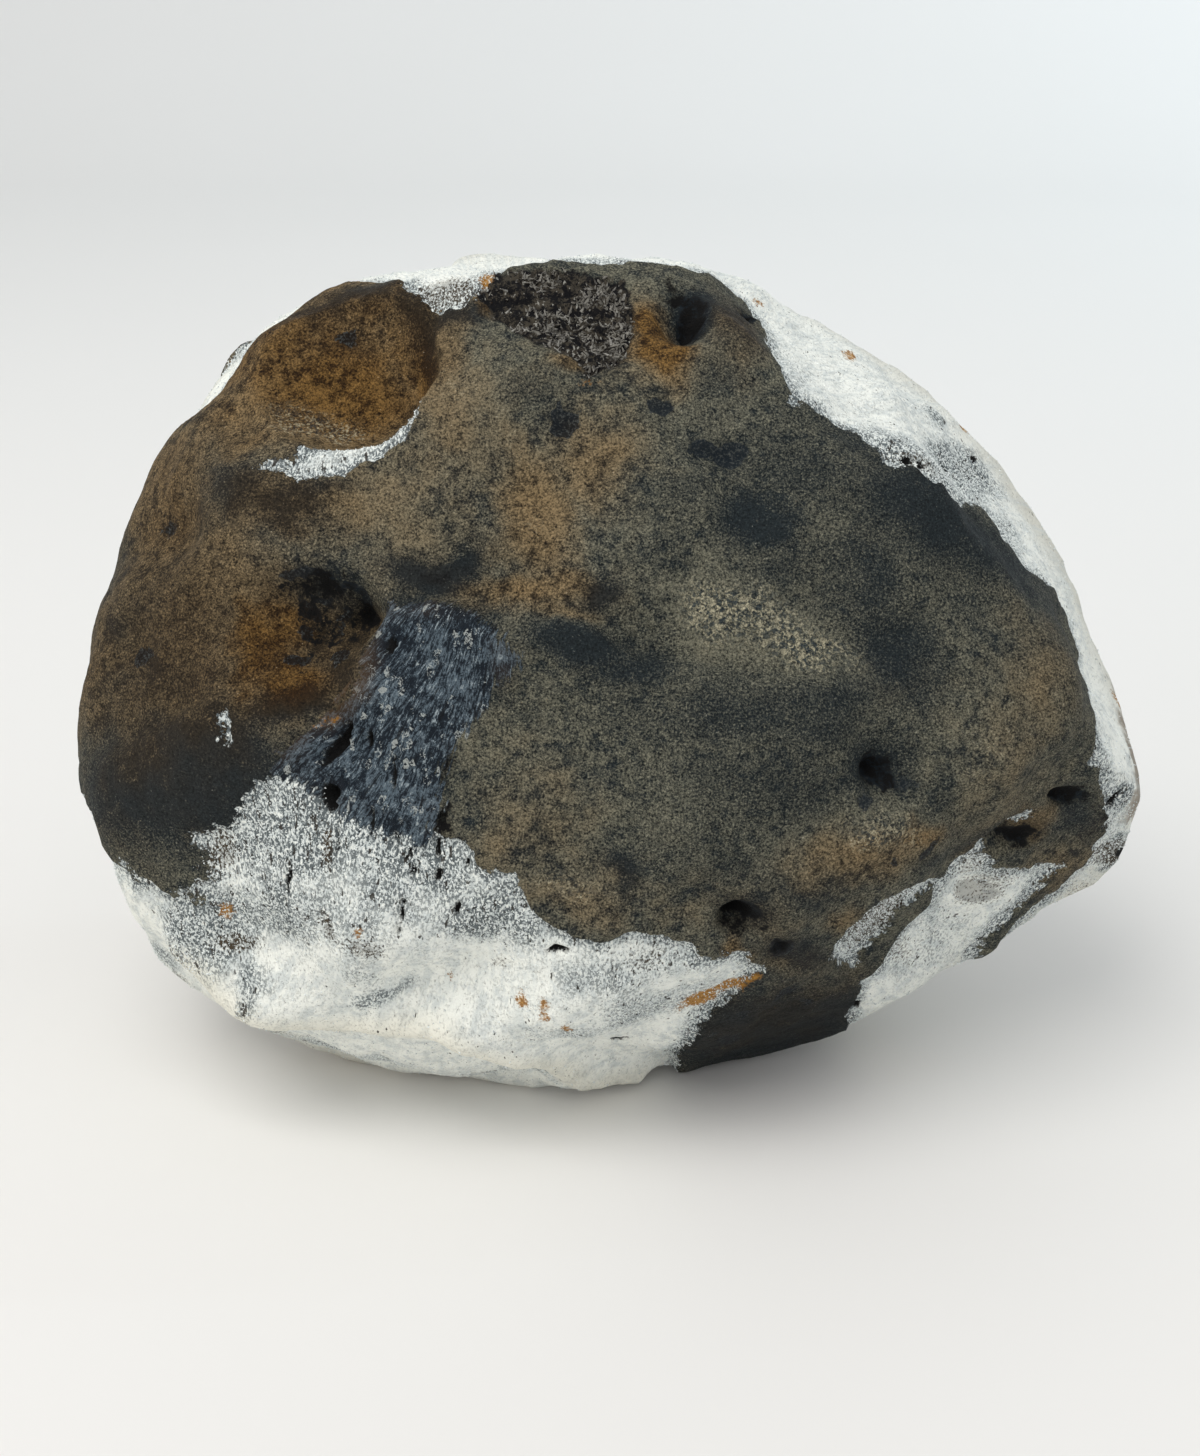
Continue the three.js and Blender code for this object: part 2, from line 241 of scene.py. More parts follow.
CRUST_EDGE = [  # clockwise from the bowl's upper rim
    (-46, 65), (-41, 65), (-36, 63), (-31, 58.5), (-27.5, 54.5), (-23, 53.5), (-19, 55.5), (-17.5, 60),
    (-15, 63.5), (-9, 65.5), (-2, 66), (6, 66), (13, 66.5), (19, 68), (24, 68.5), (27, 66), (27.5, 60),
    (26.5, 54), (26.5, 49), (28, 42.5), (33, 40), (38, 37), (42, 31.5), (46, 28.5), (51, 26), (58, 26),
    (63, 27), (63, 21.5), (67, 16), (74, 13), (79, 10), (80, 3), (72, -4), (68, -11), (72, -17),
    (75.5, -21), (77.5, -26), (78, -32), (77.8, -38), (74.8, -45), (72.5, -50), (70, -60), (60, -74),
    (50, -86), (36, -94), (24, -94), (15, -86), (14, -78), (14, -71), (17, -61), (22, -55.5), (25.5, -49),
    (20, -44), (14, -45), (12, -42.5), (4, -39.5), (-2, -41.5), (-8, -40), (-11, -37), (-14.5, -31.5),
    (-19.5, -29), (-21.5, -26), (-25, -24.5), (-28, -23.5), (-31, -22), (-35, -19.5), (-39, -17.3),
    (-41.5, -15), (-45, -12.5), (-48.5, -17), (-52, -22.5), (-56.5, -23), (-56, -28.5), (-56.5, -32.5),
    (-59.5, -30), (-64, -28), (-66.5, -25), (-71, -19), (-80, -18), (-90, -16), (-102, -12), (-114, 0),
    (-122, 16), (-116, 34), (-104, 46), (-92, 54), (-78, 58), (-62, 61), (-52, 62),
]
EAR = [  # the small lobe behind the right end, dusted brown
    (88.5, -1), (87, -6), (83, -9.5), (79.5, -12.5), (77, -16.5), (75.8, -20.5), (78.5, -24), (88, -26),
    (104, -22), (106, -8), (98, -1),
]
CHIP_STRIP = [  # the white strip under the bowl
    (-49.5, 28), (-47, 30.2), (-45.5, 29.6), (-43.5, 31.6), (-40.5, 34.4), (-37, 35), (-34, 36.4),
    (-31.4, 38.2), (-28.6, 40.6), (-27.4, 38.4), (-29.4, 34.4), (-32.4, 32.2), (-35.2, 30.4), (-38.7, 28),
    (-43.7, 26.8), (-46, 27.8),
]
STREAK = [  # a small slip of white left of the glassy patch
    (-51.9, -5.4), (-51, -5.4), (-50.6, -8), (-50.7, -10), (-51.5, -10), (-51.6, -7.6),
]
BOWL_RIM_CHIP = [
    (-60, 52.5), (-54, 54), (-50.5, 56.5), (-48, 58.5), (-45.5, 61.5), (-47, 70), (-66, 66), (-66, 56),
]
SHOULDER_CHIP = [
    (-64, 41), (-62, 43.5), (-60.5, 46.5), (-57.5, 49.5), (-58, 52.5), (-66, 58), (-82, 54), (-80, 42),
    (-70, 38),
]
LACE = [  # lacy quartz at the lower right
    (38, -49), (38.7, -42), (41, -39.8), (44.2, -36), (48, -33.8), (54, -34.6), (55.5, -36), (53.6, -39),
    (49.7, -40), (48.8, -43.6), (48.3, -47), (46.2, -51), (45.5, -55), (43, -53.7),
]
LOW_RIGHT_CHIPS = [  # the broken corner beside the lace
    (47.9, -68), (47, -58), (50.3, -55.7), (53.4, -47.7), (57.2, -41.7), (57.2, -37.2), (57.6, -29.8),
    (59, -25), (65.2, -21.6), (66.4, -23.2), (61.4, -25.4), (60.8, -29.4), (64.3, -33), (69.9, -33),
    (73.6, -30.8), (75.6, -32.4), (74.3, -37.7), (71.1, -44.2), (69.5, -50), (70.5, -56), (68, -70),
    (58, -80), (50, -78),
]
CHIPS = [  # each break in the crust, and how far its edge strays in millimetres
    (CHIP_STRIP, 0.4), (LACE, 0.7), (LOW_RIGHT_CHIPS, 0.7), (BOWL_RIM_CHIP, 0.5), (SHOULDER_CHIP, 0.5),
    (STREAK, 0.1),
]
GLASSY_PATCH = [  # between the pocket and the white foot
    (-35.5, 9.5), (-28.5, 10.8), (-21.5, 9), (-16, 4.5), (-13.5, 1), (-17.5, -2), (-19.5, -5), (-22, -10),
    (-24.5, -13), (-25.3, -18), (-26, -23), (-26.5, -26.5), (-30, -25), (-35, -22.5), (-39, -20.5),
    (-43, -17), (-46, -14), (-44.5, -10), (-42, -7), (-37.5, -3), (-36, 3),
]
CRYSTAL_BED = [  # at the top, right of the bowl
    (-19.5, 58), (-15.5, 61.5), (-10, 63), (-4, 63.5), (2, 62.5), (4, 56), (3, 51), (2, 46), (-3, 43.5),
    (-8, 47), (-13, 49.5), (-19.5, 55),
]
FOOT_RIDGE = [  # the ridge along the foot, its crest painted cream: partly its own tint, partly a painted highlight
    (-60, -40), (-52, -48), (-42, -55), (-32, -54.7), (-24.6, -55.4), (-15, -64), (-4, -80), (6, -84),
]


def line_distance(place, line):
    """Degrees from a line through the places given."""
    x, y = place
    best = np.full(x.shape, 1e9)
    for (ax, ay), (bx, by) in zip(line, line[1:]):
        ex, ey = bx - ax, by - ay
        t = np.clip(((x - ax) * ex + (y - ay) * ey) / (ex * ex + ey * ey), 0, 1)
        best = np.minimum(best, np.hypot(x - ax - t * ex, y - ay - t * ey))
    return best


def edge_distance(place, outline):
    """Degrees inside a closed outline; negative outside it."""
    x, y = place
    outline = outline + outline[:1]
    inside = np.zeros(x.shape, bool)
    for (ax, ay), (bx, by) in zip(outline, outline[1:]):
        if ay != by:
            inside ^= ((ay > y) != (by > y)) & (x < ax + (y - ay) * (bx - ax) / (by - ay))
    return line_distance(place, outline) * np.where(inside, 1, -1)


# Slits and holes in the body and the crust: right, up, half width, half height, any turn, depth. The finish
# paints them near-black as painted shade.
HOLES = [
    # left
    (-44, 12.6, 2.6, 1, 20, 1), (-41.5, 8.5, 1.1, 2.2, -10, 1.1), (-45.5, 6, 0.7, 2.6, 10, 0.8),
    (-33, 3.7, 0.5, 1.6, -8, 1.3), (-36, -10.5, 0.6, 1.5, -8, 1.5), (-40.2, -11.1, 0.85, 3.7, -24, 2.4),
    (-24.8, -14.1, 0.35, 1.4, -10, 0.9), (-32.1, -15.5, 0.35, 3.2, 1.1), (-40.5, -18.5, 0.95, 2.3, 12, 2.2),
    (-34.2, -21.6, 0.3, 2.4, 1.1), (-25.1, -22.7, 0.7, 1.3, 1.4), (-30.8, -24, 0.3, 1.6, 0.8),
    (-38.6, -24.5, 0.32, 2.6, 6, 1), (-25.6, -26.5, 0.45, 1.9, 5, 1.1), (-29.4, -27, 0.4, 1, -20, 0.9),
    (-21.3, -28.9, 0.45, 0.8, 0.8), (-44.3, -29, 0.4, 3.2, -5, 1), (-28.8, -29.4, 0.35, 0.9, 0.8),
    (-25.4, -30.5, 0.5, 1.2, -12, 1.1), (-29.7, -35, 0.32, 3.2, -3, 1), (-22.6, -35.5, 0.5, 1.3, -10, 1),
    # middle
    (10.8, 60, 1.2, 0.9, 1.2), (13.2, 57, 1.7, 2.6, 2.2), (-7.7, -43.1, 1.9, 0.5, 12, 0.9),
    (2, -69.6, 2, 0.9, 20, 1.1),
    # right
    (23.9, 61.6, 1.5, 1.9, 20, 1.7), (73.6, 42.8, 0.9, 0.9, 1), (68, 39.2, 1, 1, 1.1),
    (62.5, 37.5, 0.9, 0.9, 1.1), (44.5, 31.5, 0.7, 0.9, 1.1), (46.5, 30.8, 0.6, 0.9, 1.1),
    (48.5, 30.4, 0.7, 0.8, 1.1), (41.2, -15.4, 1.1, 1.7, 20, 0.8), (70.2, -19, 1.3, 0.9, 1.2),
    (76.3, -19, 0.5, 2, 1), (66, -26.2, 1.7, 1.3, 20, 1.4), (84, -29.6, 1.3, 1, 0.8),
    (20.2, -38.6, 2, 1.4, 15, 1.6), (26.7, -43.1, 1.1, 1.1, 1.2), (48.5, -65.5, 1.2, 1, 1),
]

# Stains and blotches, each a soft ellipse: right, up, half width, half height, any turn, strength.
BROWN = [  # tan brown up to 1, rust brown above it
    # left
    (-50, 60, 18, 6, 20, 1.2), (-36, 55, 12, 4, 20, 1.3), (-31, 49, 7, 9, 28, 1.5),
    (-56, 48, 12, 10, 30, 1.35), (-66, 46, 8, 10, 30, 1.1), (-44, 45.5, 14, 11.5, 28, 1.7),
    (-57, 38, 6, 6, 1.2), (-24, 38, 9, 8, 0.6), (-52, 34, 8, 5, 30, 1.1), (-36, 28, 34, 26, 0.45),
    (-33, 25, 9, 6, 0.5), (-66, 24, 11, 17, 1.15), (-46, 24, 12, 6, 0.85), (-62, 12, 24, 34, 0.6),
    (-60, 12, 16, 15, 0.9), (-60, 6, 16, 20, 1), (-49.6, 4, 3.6, 7, 1.9), (-72, 2, 10, 13, 0.9),
    (-44, 2, 8, 10, 1.05), (-46, -1.5, 5, 4, 1.8), (-62, -2, 8, 5, 0.9),
    # middle
    (-20, 57, 2.4, 3.6, 0.7), (-19.2, 56.5, 1.8, 3.4, 1.3), (7.7, 50.8, 3.6, 5.6, 24, 2.5),
    (6, 46, 12, 5, 0.5), (-6, 45.3, 4, 1.6, 0.9), (-3, 33, 9, 9, 0.7), (-19, 33, 9, 8, 0.5),
    (-12, 24, 6, 11, 15, 1), (-13, 13, 12, 3.4, 1), (-8, 9.5, 8, 2, 0.7), (-17, -1, 5, 3, 0.3),
    (-15, -14, 6, 8, 0.3), (-12, -25, 10, 12, 0.5), (-6, -32, 9, 5, 0.45), (-5, -35, 12, 5, 0.6),
    (11, -38, 6, 2.6, 0.5),
    # right
    (20, 55, 5, 8, 0.7), (21, 50, 3, 7, 0.5), (62, 5, 4, 6, 0.4), (60, 0, 6, 10, 0.5), (57, -9, 5, 8, 0.45),
    (54, -12, 6, 9, 0.5), (58, -15, 12, 24, 0.35), (45.7, -23.5, 2.6, 2.6, 1), (66, -24, 4, 3, 0.7),
    (46, -24.5, 3.4, 2.2, 1.2), (41, -27, 8, 3.5, 15, 0.75), (38, -28, 10, 5, 10, 0.8), (60, -28, 6, 3, 0.5),
    (75, -33, 8, 9, 0.6), (18, -36, 30, 7, 0.35), (38, -40, 4, 3, -30, 0.6), (20, -43, 2.4, 2.6, 10, 0.9),
    (30, -48, 12, 6, -30, 0.5), (30, -66, 20, 16, 0.6),
]
BLACK = [  # blue-black up to 1, black above it
    # left
    # (-40, 57) and (-28.5, 51) darken the bowl's upper rim and right wall: painted shade in the bowl.
    (-40, 57, 11, 2.2, 18, 0.85), (-22.5, 52.5, 4, 2.6, 20, 0.9), (-25, 52, 4, 3, 0.8),
    (-42, 51.5, 5, 2, 12, 0.5), (-52, 51, 3, 3, 0.5), (-28.5, 51, 3, 6, 20, 0.95), (-30, 45, 2, 5, 0.4),
    (-35, 44, 3, 2, 40, 0.5), (-48, 40, 3, 2, 0.5), (-34, 35, 3, 3, 0.3), (-57, 33, 4, 3, 0.4),
    (-44, 26, 6, 1.6, 15, 0.8), (-52, 25, 5, 4, 0.7), (-46, 23, 6, 4, 0.75), (-58, 22, 3, 2, 0.6),
    (-62, 18, 12, 16, 0.35), (-23, 17.5, 4, 1.6, 20, 0.9), (-29, 15.5, 5, 2.3, -8, 1.4), (-72, 14, 2, 3, 0.7),
    (-85, 12, 16, 30, 0.45), (-43, 11, 5, 4, 10, 0.55), (-32, 11, 4, 2, 0.6), (-26, 8, 8, 3, 0.8),
    (-70, 6, 3, 2, 0.7), (-62, 4, 14, 16, 0.5), (-41, 4, 2, 4, -15, 0.6), (-49, 2, 3, 5, 0.5),
    (-70, 0, 10, 12, 0.4), (-62, -1, 3, 2, 0.9), (-40, -1, 2.5, 4, 0.8), (-60, -2, 12, 6, 0.6),
    (-45.5, -4.5, 4, 2.6, 1), (-53, -6, 5, 3, 0.8), (-70, -8, 5, 4, 0.6), (-53.5, -8.5, 7, 4, 1),
    (-50, -14, 5, 6, 0.95), (-58, -15, 14, 9, 0.95),
    # middle
    (14.5, 58, 2.6, 3.4, 1.5), (-12, 42, 4, 2, 0.4), (12, 27, 6, 2.6, 20, 0.35),
    (-1, 12.5, 3.5, 1.8, 20, 0.9), (-4, 3.5, 8, 3, -10, 0.9), (4, 0, 6, 3, 0.7), (-17, -1, 3, 5, 0.5),
    (6, -7, 11, 4, -10, 0.3), (8, -26, 8, 5, 0.3), (2, -31, 3, 3.4, 0.8),
    # right
    (19, 58, 4, 5, 0.6), (20.5, 56, 4, 7, 0.7), (18, 44, 4, 3, 0.35), (40, 36, 12, 4, -20, 0.5),
    (26, 36, 4, 2.4, 0.4), (30, 31, 14, 4, -15, 0.45), (23, 24, 6, 4, 0.9), (50, 22, 14, 7, -25, 0.85),
    (28, 18, 6, 3, -20, 0.4), (61, 16, 7, 5, -30, 0.7), (26, 14.5, 6, 4, 0.6), (40, 14, 4, 7, 15, 0.6),
    (36, 14, 6, 8, 0.4), (68, 12, 10, 16, 0.45), (54, 10, 4, 4, 0.35), (70, 8, 4, 8, 0.5),
    (42, 2, 5, 8, 20, 0.75), (34, -4, 9, 4, 20, 0.6), (20, -6, 14, 5, 10, 0.5), (31, -8, 9, 4, 10, 0.5),
    (41, -14, 5, 4.4, 0.7), (16, -16, 9, 4, 0.35), (26, -18, 12, 6, 0.4), (72, -22, 5, 2.6, -40, 0.6),
    (52, -24, 3, 2, 0.4), (60, -25, 8, 3, 20, 0.5), (18, -30, 8, 4, 0.3), (50, -30, 3, 2, 0.5),
    (29, -33, 6, 2.6, -20, 0.5), (21, -36.5, 4.6, 2.4, 0.8), (31, -46, 9, 3.2, -30, 0.7),
    (24, -70, 12, 14, 1.15), (40, -72, 20, 12, 1.15),
    # sides and back
    (-92, 6, 16, 22, 0.5),
]
ROUGH = [  # where the crust is knobby
    (-55, -14, 12, 9, 1), (-44, 7, 8, 9, 0.9), (20, -45, 9, 7, -20, 1), (28, -64, 16, 12, 0.9),
    (18, 57, 8, 6, 0.9), (-27, 54, 5, 5, 1), (64, -30, 10, 7, 0.7), (-66, 0, 8, 12, 0.6),
    (-62, 22, 9, 9, 0.5), (-52, 28, 9, 5, 0.6), (40, 36, 14, 4, -20, 0.7), (56, 22, 10, 5, -25, 0.6),
    (-6, 6, 12, 4, 0.6), (42, 4, 7, 9, 20, 0.5),
]
DARK_MARKS_AND_PIT_SHADE = [  # small dark places with their own shape: dark cracks, and painted shade in the pits and holes
    # left
    (-41.8, 52.6, 1.5, 0.7, 10, 1.2), (-66, 21, 1.6, 1.2, 0.9), (-43.5, 14.4, 1.6, 0.8, -10, 1.3),
    (-46, 13.8, 1.6, 0.7, 20, 1.2), (-41.7, 13, 1.3, 0.8, 1.3), (-39.6, 12, 1.1, 1.6, 1.4),
    (-44.8, 10.8, 0.7, 0.7, 1.1), (-46.3, 9, 0.7, 2, 10, 1.2), (-43.6, 8.9, 0.8, 0.9, 1.3),
    (-41, 8.6, 0.8, 2.4, -8, 1.3), (-46.9, 5.6, 0.6, 1.4, 1), (-43.6, 5.5, 0.6, 1.9, -10, 1.2),
    (-41.4, 2.2, 0.7, 1.5, 1.3), (-65, 1.5, 1.6, 1.6, 0.9), (-46.2, 1, 1.2, 0.9, 1.2),
    # middle
    (13.6, 57, 2.2, 3.2, 1.6), (7.9, 40.6, 2, 1.3, 10, 1.2), (-7, 38.4, 2, 2.1, 1.4),
    (14.5, 35, 2.4, 1, 10, 1.3),
    # right
    (24.6, 61.8, 1.4, 1.8, 20, 1.4), (19, 34.2, 2.6, 1.7, 1.2), (41.2, -15.4, 1.8, 2.4, 20, 1.5),
    (44, -17, 1.6, 1.2, 0.8), (38, -19, 1.6, 1.2, 0.7), (70.2, -19, 1.8, 1.2, 1.4),
    (66, -26.2, 2.1, 1.5, 20, 1.3), (48, -27, 0.8, 3, -20, 0.8), (43, -28.6, 1, 1, 0.9),
    (20.6, -37.8, 2.8, 1.8, 15, 1.3), (26.7, -43.1, 1.8, 1.6, 1.4), (27.6, -44, 1.8, 1.6, 1.3),
    (30.8, -55.9, 1.6, 1.1, 1.4), (31.5, -57.5, 2.6, 1.6, 20, 1.3), (24, -61, 1.4, 1, 30, 1),
    (37, -62, 1.6, 1, 10, 1), (19, -66, 1, 1.6, 1), (23.1, -70.6, 2.6, 2.6, 1.3),
]
TAN = [  # where the coat is thick and light; worm-like grains above about 0.5
    # left
    # (-46, 39) lightens the bowl's lower-left floor: a painted pool of light.
    (-24, 44, 5, 7, 0.5), (-56, 40, 4, 6, 0.3), (-22, 40, 7, 6, 0.5), (-46, 39, 10, 5, 25, 0.7),
    (-33, 25, 8, 5, 0.4),
    # middle
    (2, 35, 8, 5, 0.3), (-17, 33, 8, 5, 0.55), (-12, 22, 6, 10, 15, 0.5), (12, 14, 5, 3, 0.5),
    (0, -12, 9, 5, 0.2), (-16, -14, 6, 9, 0.35), (-12, -22, 8, 8, 0.5), (2, -26, 9, 5, 0.5),
    (-8, -33, 10, 5, 0.7), (11, -38, 7, 3, 0.55),
    # right
    (34, 22, 5, 4, 0.2), (27, 14, 6, 3, 0.45), (18, 10, 8, 5, -25, 0.85), (24, 7.5, 16, 7, -24, 0.75),
    (31, 3.5, 8, 4, -15, 0.85), (60, 0, 5, 9, 0.4), (51, -11, 6, 7, 0.65), (62, -22, 6, 3, 0.3),
    (41, -24, 10, 5, 10, 0.75), (42, -41, 5, 5, 0.4),
]
GREY = [  # where the quartz body is dense with gaps
    # left
    (-23, 56, 5, 2.5, 1), (-40, 31, 8, 3, 10, 0.5), (-41, -22, 15, 8, 8, 1.1), (-29, -26, 11, 8, -15, 1),
    (-36, -32, 18, 9, 0.6), (-46, -33, 9, 6, 0.8), (-56, -36, 6, 6, 1), (-30, -38, 14, 5, 0.4),
    (-36, -44, 1.2, 3.5, 15, 0.6), (-50, -44.5, 1.6, 3.5, 20, 0.7), (-71, -46, 2.5, 3, 30, 0.8),
    (-35.5, -48.7, 4.5, 1, 0.75), (-46, -67, 12, 2.2, -8, 0.7),
    # middle
    (-16, -37, 9, 6, -20, 0.9), (2, -46, 12, 4.5, 0.6), (4, -55, 7, 6, 0.6), (14, -56, 6, 5, 20, 0.5),
    (-6.5, -58, 6, 3, -20, 0.6), (-18, -75, 9, 2, -10, 0.6),
    # right
    (64, 51, 3, 4, 0.8), (30, 50, 5, 9, 0.4), (67, 38, 10, 7, 1.15), (44, 34, 5, 3, 0.9),
    (50, 33, 12, 5, -5, 1), (53, 31.5, 6, 3, 1), (66, 26, 9, 7, 0.9), (78, -6, 5, 9, 0.2),
    (76.5, -19.5, 1.2, 2.4, 1.5), (82, -29, 3, 3, 1.2), (51, -36, 8, 6, -30, 0.85), (46, -42, 7, 8, -30, 1.4),
    (60, -47, 10, 6, -30, 0.5), (60, -50, 12, 10, 0.4),
]
SOIL = [  # earth lodged in the body's gaps
    # left
    (-24.5, 57, 4, 2.6, 1.1), (-30.5, -18, 1.2, 1.6, 0.8), (-38.7, -18.1, 1.1, 1.3, 1),
    (-39.7, -25, 0.6, 2.6, 8, 1), (-53.9, -25.3, 1.5, 3, 0.9), (-56.3, -27, 1.6, 2.4, 0.9),
    (-38.9, -35.7, 0.9, 2.2, 20, 1), (-53.3, -39, 2.8, 1.1, -15, 0.9), (-34.1, -39, 2.6, 1.3, -30, 0.9),
    (-70, -50, 2, 1.6, 0.9), (-60, -63, 6, 0.9, -8, 0.6),
    # middle
    (6, -45, 4, 2, 0.5), (-17.4, -46.5, 1.6, 0.9, 20, 0.7),
    # right
    (24.5, 57, 2, 3, 0.8), (70, 40, 4, 3, 0.35), (60, 36, 5, 2, 0.35), (47, 31, 5, 2, -10, 0.6),
    (83, -29.5, 3.4, 2.2, 1.5), (60.5, -33, 2, 3, 0.7), (50, -36, 3, 3, 0.5), (66, -36, 3, 2, 0.7),
    (82, -38, 2, 3, 0.5), (65.2, -39.2, 2.8, 2.2, 15, 1.6), (45, -41, 4, 7, -30, 0.9),
    (50, -41, 3, 1.6, -40, 0.8), (43, -42, 3, 3, 1.1), (47, -45, 2, 5, -25, 1.1), (44, -48, 3, 3, 0.6),
    (54, -52, 5, 3, -30, 0.6),
    # sides and back
    (-130, 60, 9, 7, 0.5), (140, 10, 12, 8, 0.6),
]
RUST = [  # orange iron stains
    # left
    (-41, -7.6, 1.8, 0.8, 30, 0.6), (-54.3, -34.2, 1, 1.4, 1), (-34.5, -36.3, 0.8, 0.8, 1),
    (-25.2, -49, 0.5, 0.7, 0.9),
    # middle
    (-18.5, 59, 1.3, 2, 1), (-3, 43, 2, 0.9, 0.5), (-9.9, -50.2, 1, 1, 1), (-13.4, -50.5, 1.1, 1.1, 1),
    (-9.5, -52, 1, 0.8, 1), (-6.4, -55.5, 0.7, 1.9, 10, 1),
    # right
    (28, 70, 1.4, 1, 0.9), (47.8, 62.8, 1.5, 2, 1), (74.3, 50.8, 1.6, 1.4, 1), (24, -51.2, 1.7, 0.8, 45, 1),
    (20.8, -54.2, 3, 1.5, 32, 1.3), (16, -57, 4.2, 1.9, 25, 1.3),
    # sides and back
    (20, 110, 5, 3, 0.6), (118, 60, 5, 4, 0.8), (-140, 20, 6, 4, 30, 0.7), (88.5, -5, 1.2, 2, 0.9),
    (90, -50, 4, 3, 0.7),
]


def blot(place, spots, sharpness=1.0):
    """The strongest of several soft spots at each place; each falls to half its strength at its ellipse."""
    field = np.zeros(place[0].shape)
    for *shape, strength in spots:
        field = np.maximum(field, strength * np.exp(-0.7 * ellipse(place, *shape) ** sharpness))
    return field


def cloud(points, size, octaves=1, seed=0.0):
    """Smooth noise between about -1 and 1 whose lumps are size mm across."""
    at = points / size + seed
    if octaves == 1:
        return np.array([noise.noise(Vector(p)) for p in at])
    return np.array([noise.fractal(Vector(p), 1.0, 2.1, octaves) for p in at])


def cracks(points, size, seed=0.0):
    """Distance from the nearest cell wall of a Voronoi pattern, 0 on the wall."""
    at = points / size + seed
    near = np.array([noise.voronoi(Vector(p))[0][:2] for p in at])
    return near[:, 1] - near[:, 0]


# ---- Fine relief and the fields that the finish reads ----

DEGREE = 0.8  # about how many millimetres one degree is on the broad face
FLOW_FROM = (-12, 38)  # the streaks of the glassy layer fan out below this place
FLOW_REACH = 45  # the degrees below it where their spacing is true to scale
CRUST_THICKNESS = 0.7
GRAIN_CLEARANCE = (0.4, 1.5)  # heights above the floor at which grains start and are full
BACK_FROM = 98  # the crust's remnants start this many degrees round
FRONT_TO = 90  # the holes end this many degrees round


def flow(place):
    """Across and along the streaks, in millimetres."""
    dx, dy = place[0] - FLOW_FROM[0], place[1] - FLOW_FROM[1]
    return np.arctan2(dx, -dy) * FLOW_REACH * DEGREE, np.hypot(dx, dy) * DEGREE


def strayed(place, points, reach, size, octaves, seed):
    """The places moved by up to about reach degrees, which makes what is laid out by them ragged."""
    return [place[k] + reach * cloud(points, size, octaves, seed + 4 * k) for k in (0, 1)]


def layer_edges(place, points, coarse, mid):
    """Millimetres inside the crust, the glassy layer and the crystal bed; negative outside them."""
    crust = DEGREE * edge_distance(place, CRUST_EDGE) + coarse + 0.9 * mid
    for outline, ragged in CHIPS:
        inside = DEGREE * edge_distance(place, outline) + ragged * (coarse + mid)
        crust = np.minimum(crust, -inside)
    remnant = 16 * (cloud(points, 26, 3, seed=1.4) - 0.22) + mid
    crust = np.maximum(crust, np.minimum(remnant, DEGREE * (np.hypot(*place) - BACK_FROM)))
    glassy = DEGREE * edge_distance(place, GLASSY_PATCH) + 0.4 * coarse + 0.5 * mid
    bed = DEGREE * edge_distance(place, CRYSTAL_BED) + 0.8 * coarse + 0.5 * mid
    return crust, glassy, bed


def streak_relief(place):
    """The glassy layer's ridges, drawn out along their flow."""
    across, along = flow(place)
    return cloud(np.stack([across / 1.2, along / 10, 0 * across], 1), 1, 2, seed=5.5)


def hole_relief(place, dusty):
    """How deep the slits and holes go, and how many millimetres a place is inside the nearest one."""
    dug, pit = np.zeros(len(dusty)), np.full(len(dusty), -9.0)
    for *shape, depth in HOLES:
        reach = 1 - np.sqrt(ellipse(place, *shape))
        sharp = np.sqrt(np.clip(reach, 0, 1))
        soft = smoothstep(reach, -0.5, 1.2)
        dug += depth * (sharp * (1 - dusty) + soft * dusty)
        pit = np.maximum(pit, DEGREE * min(shape[2:4]) * reach)
    return dug, pit


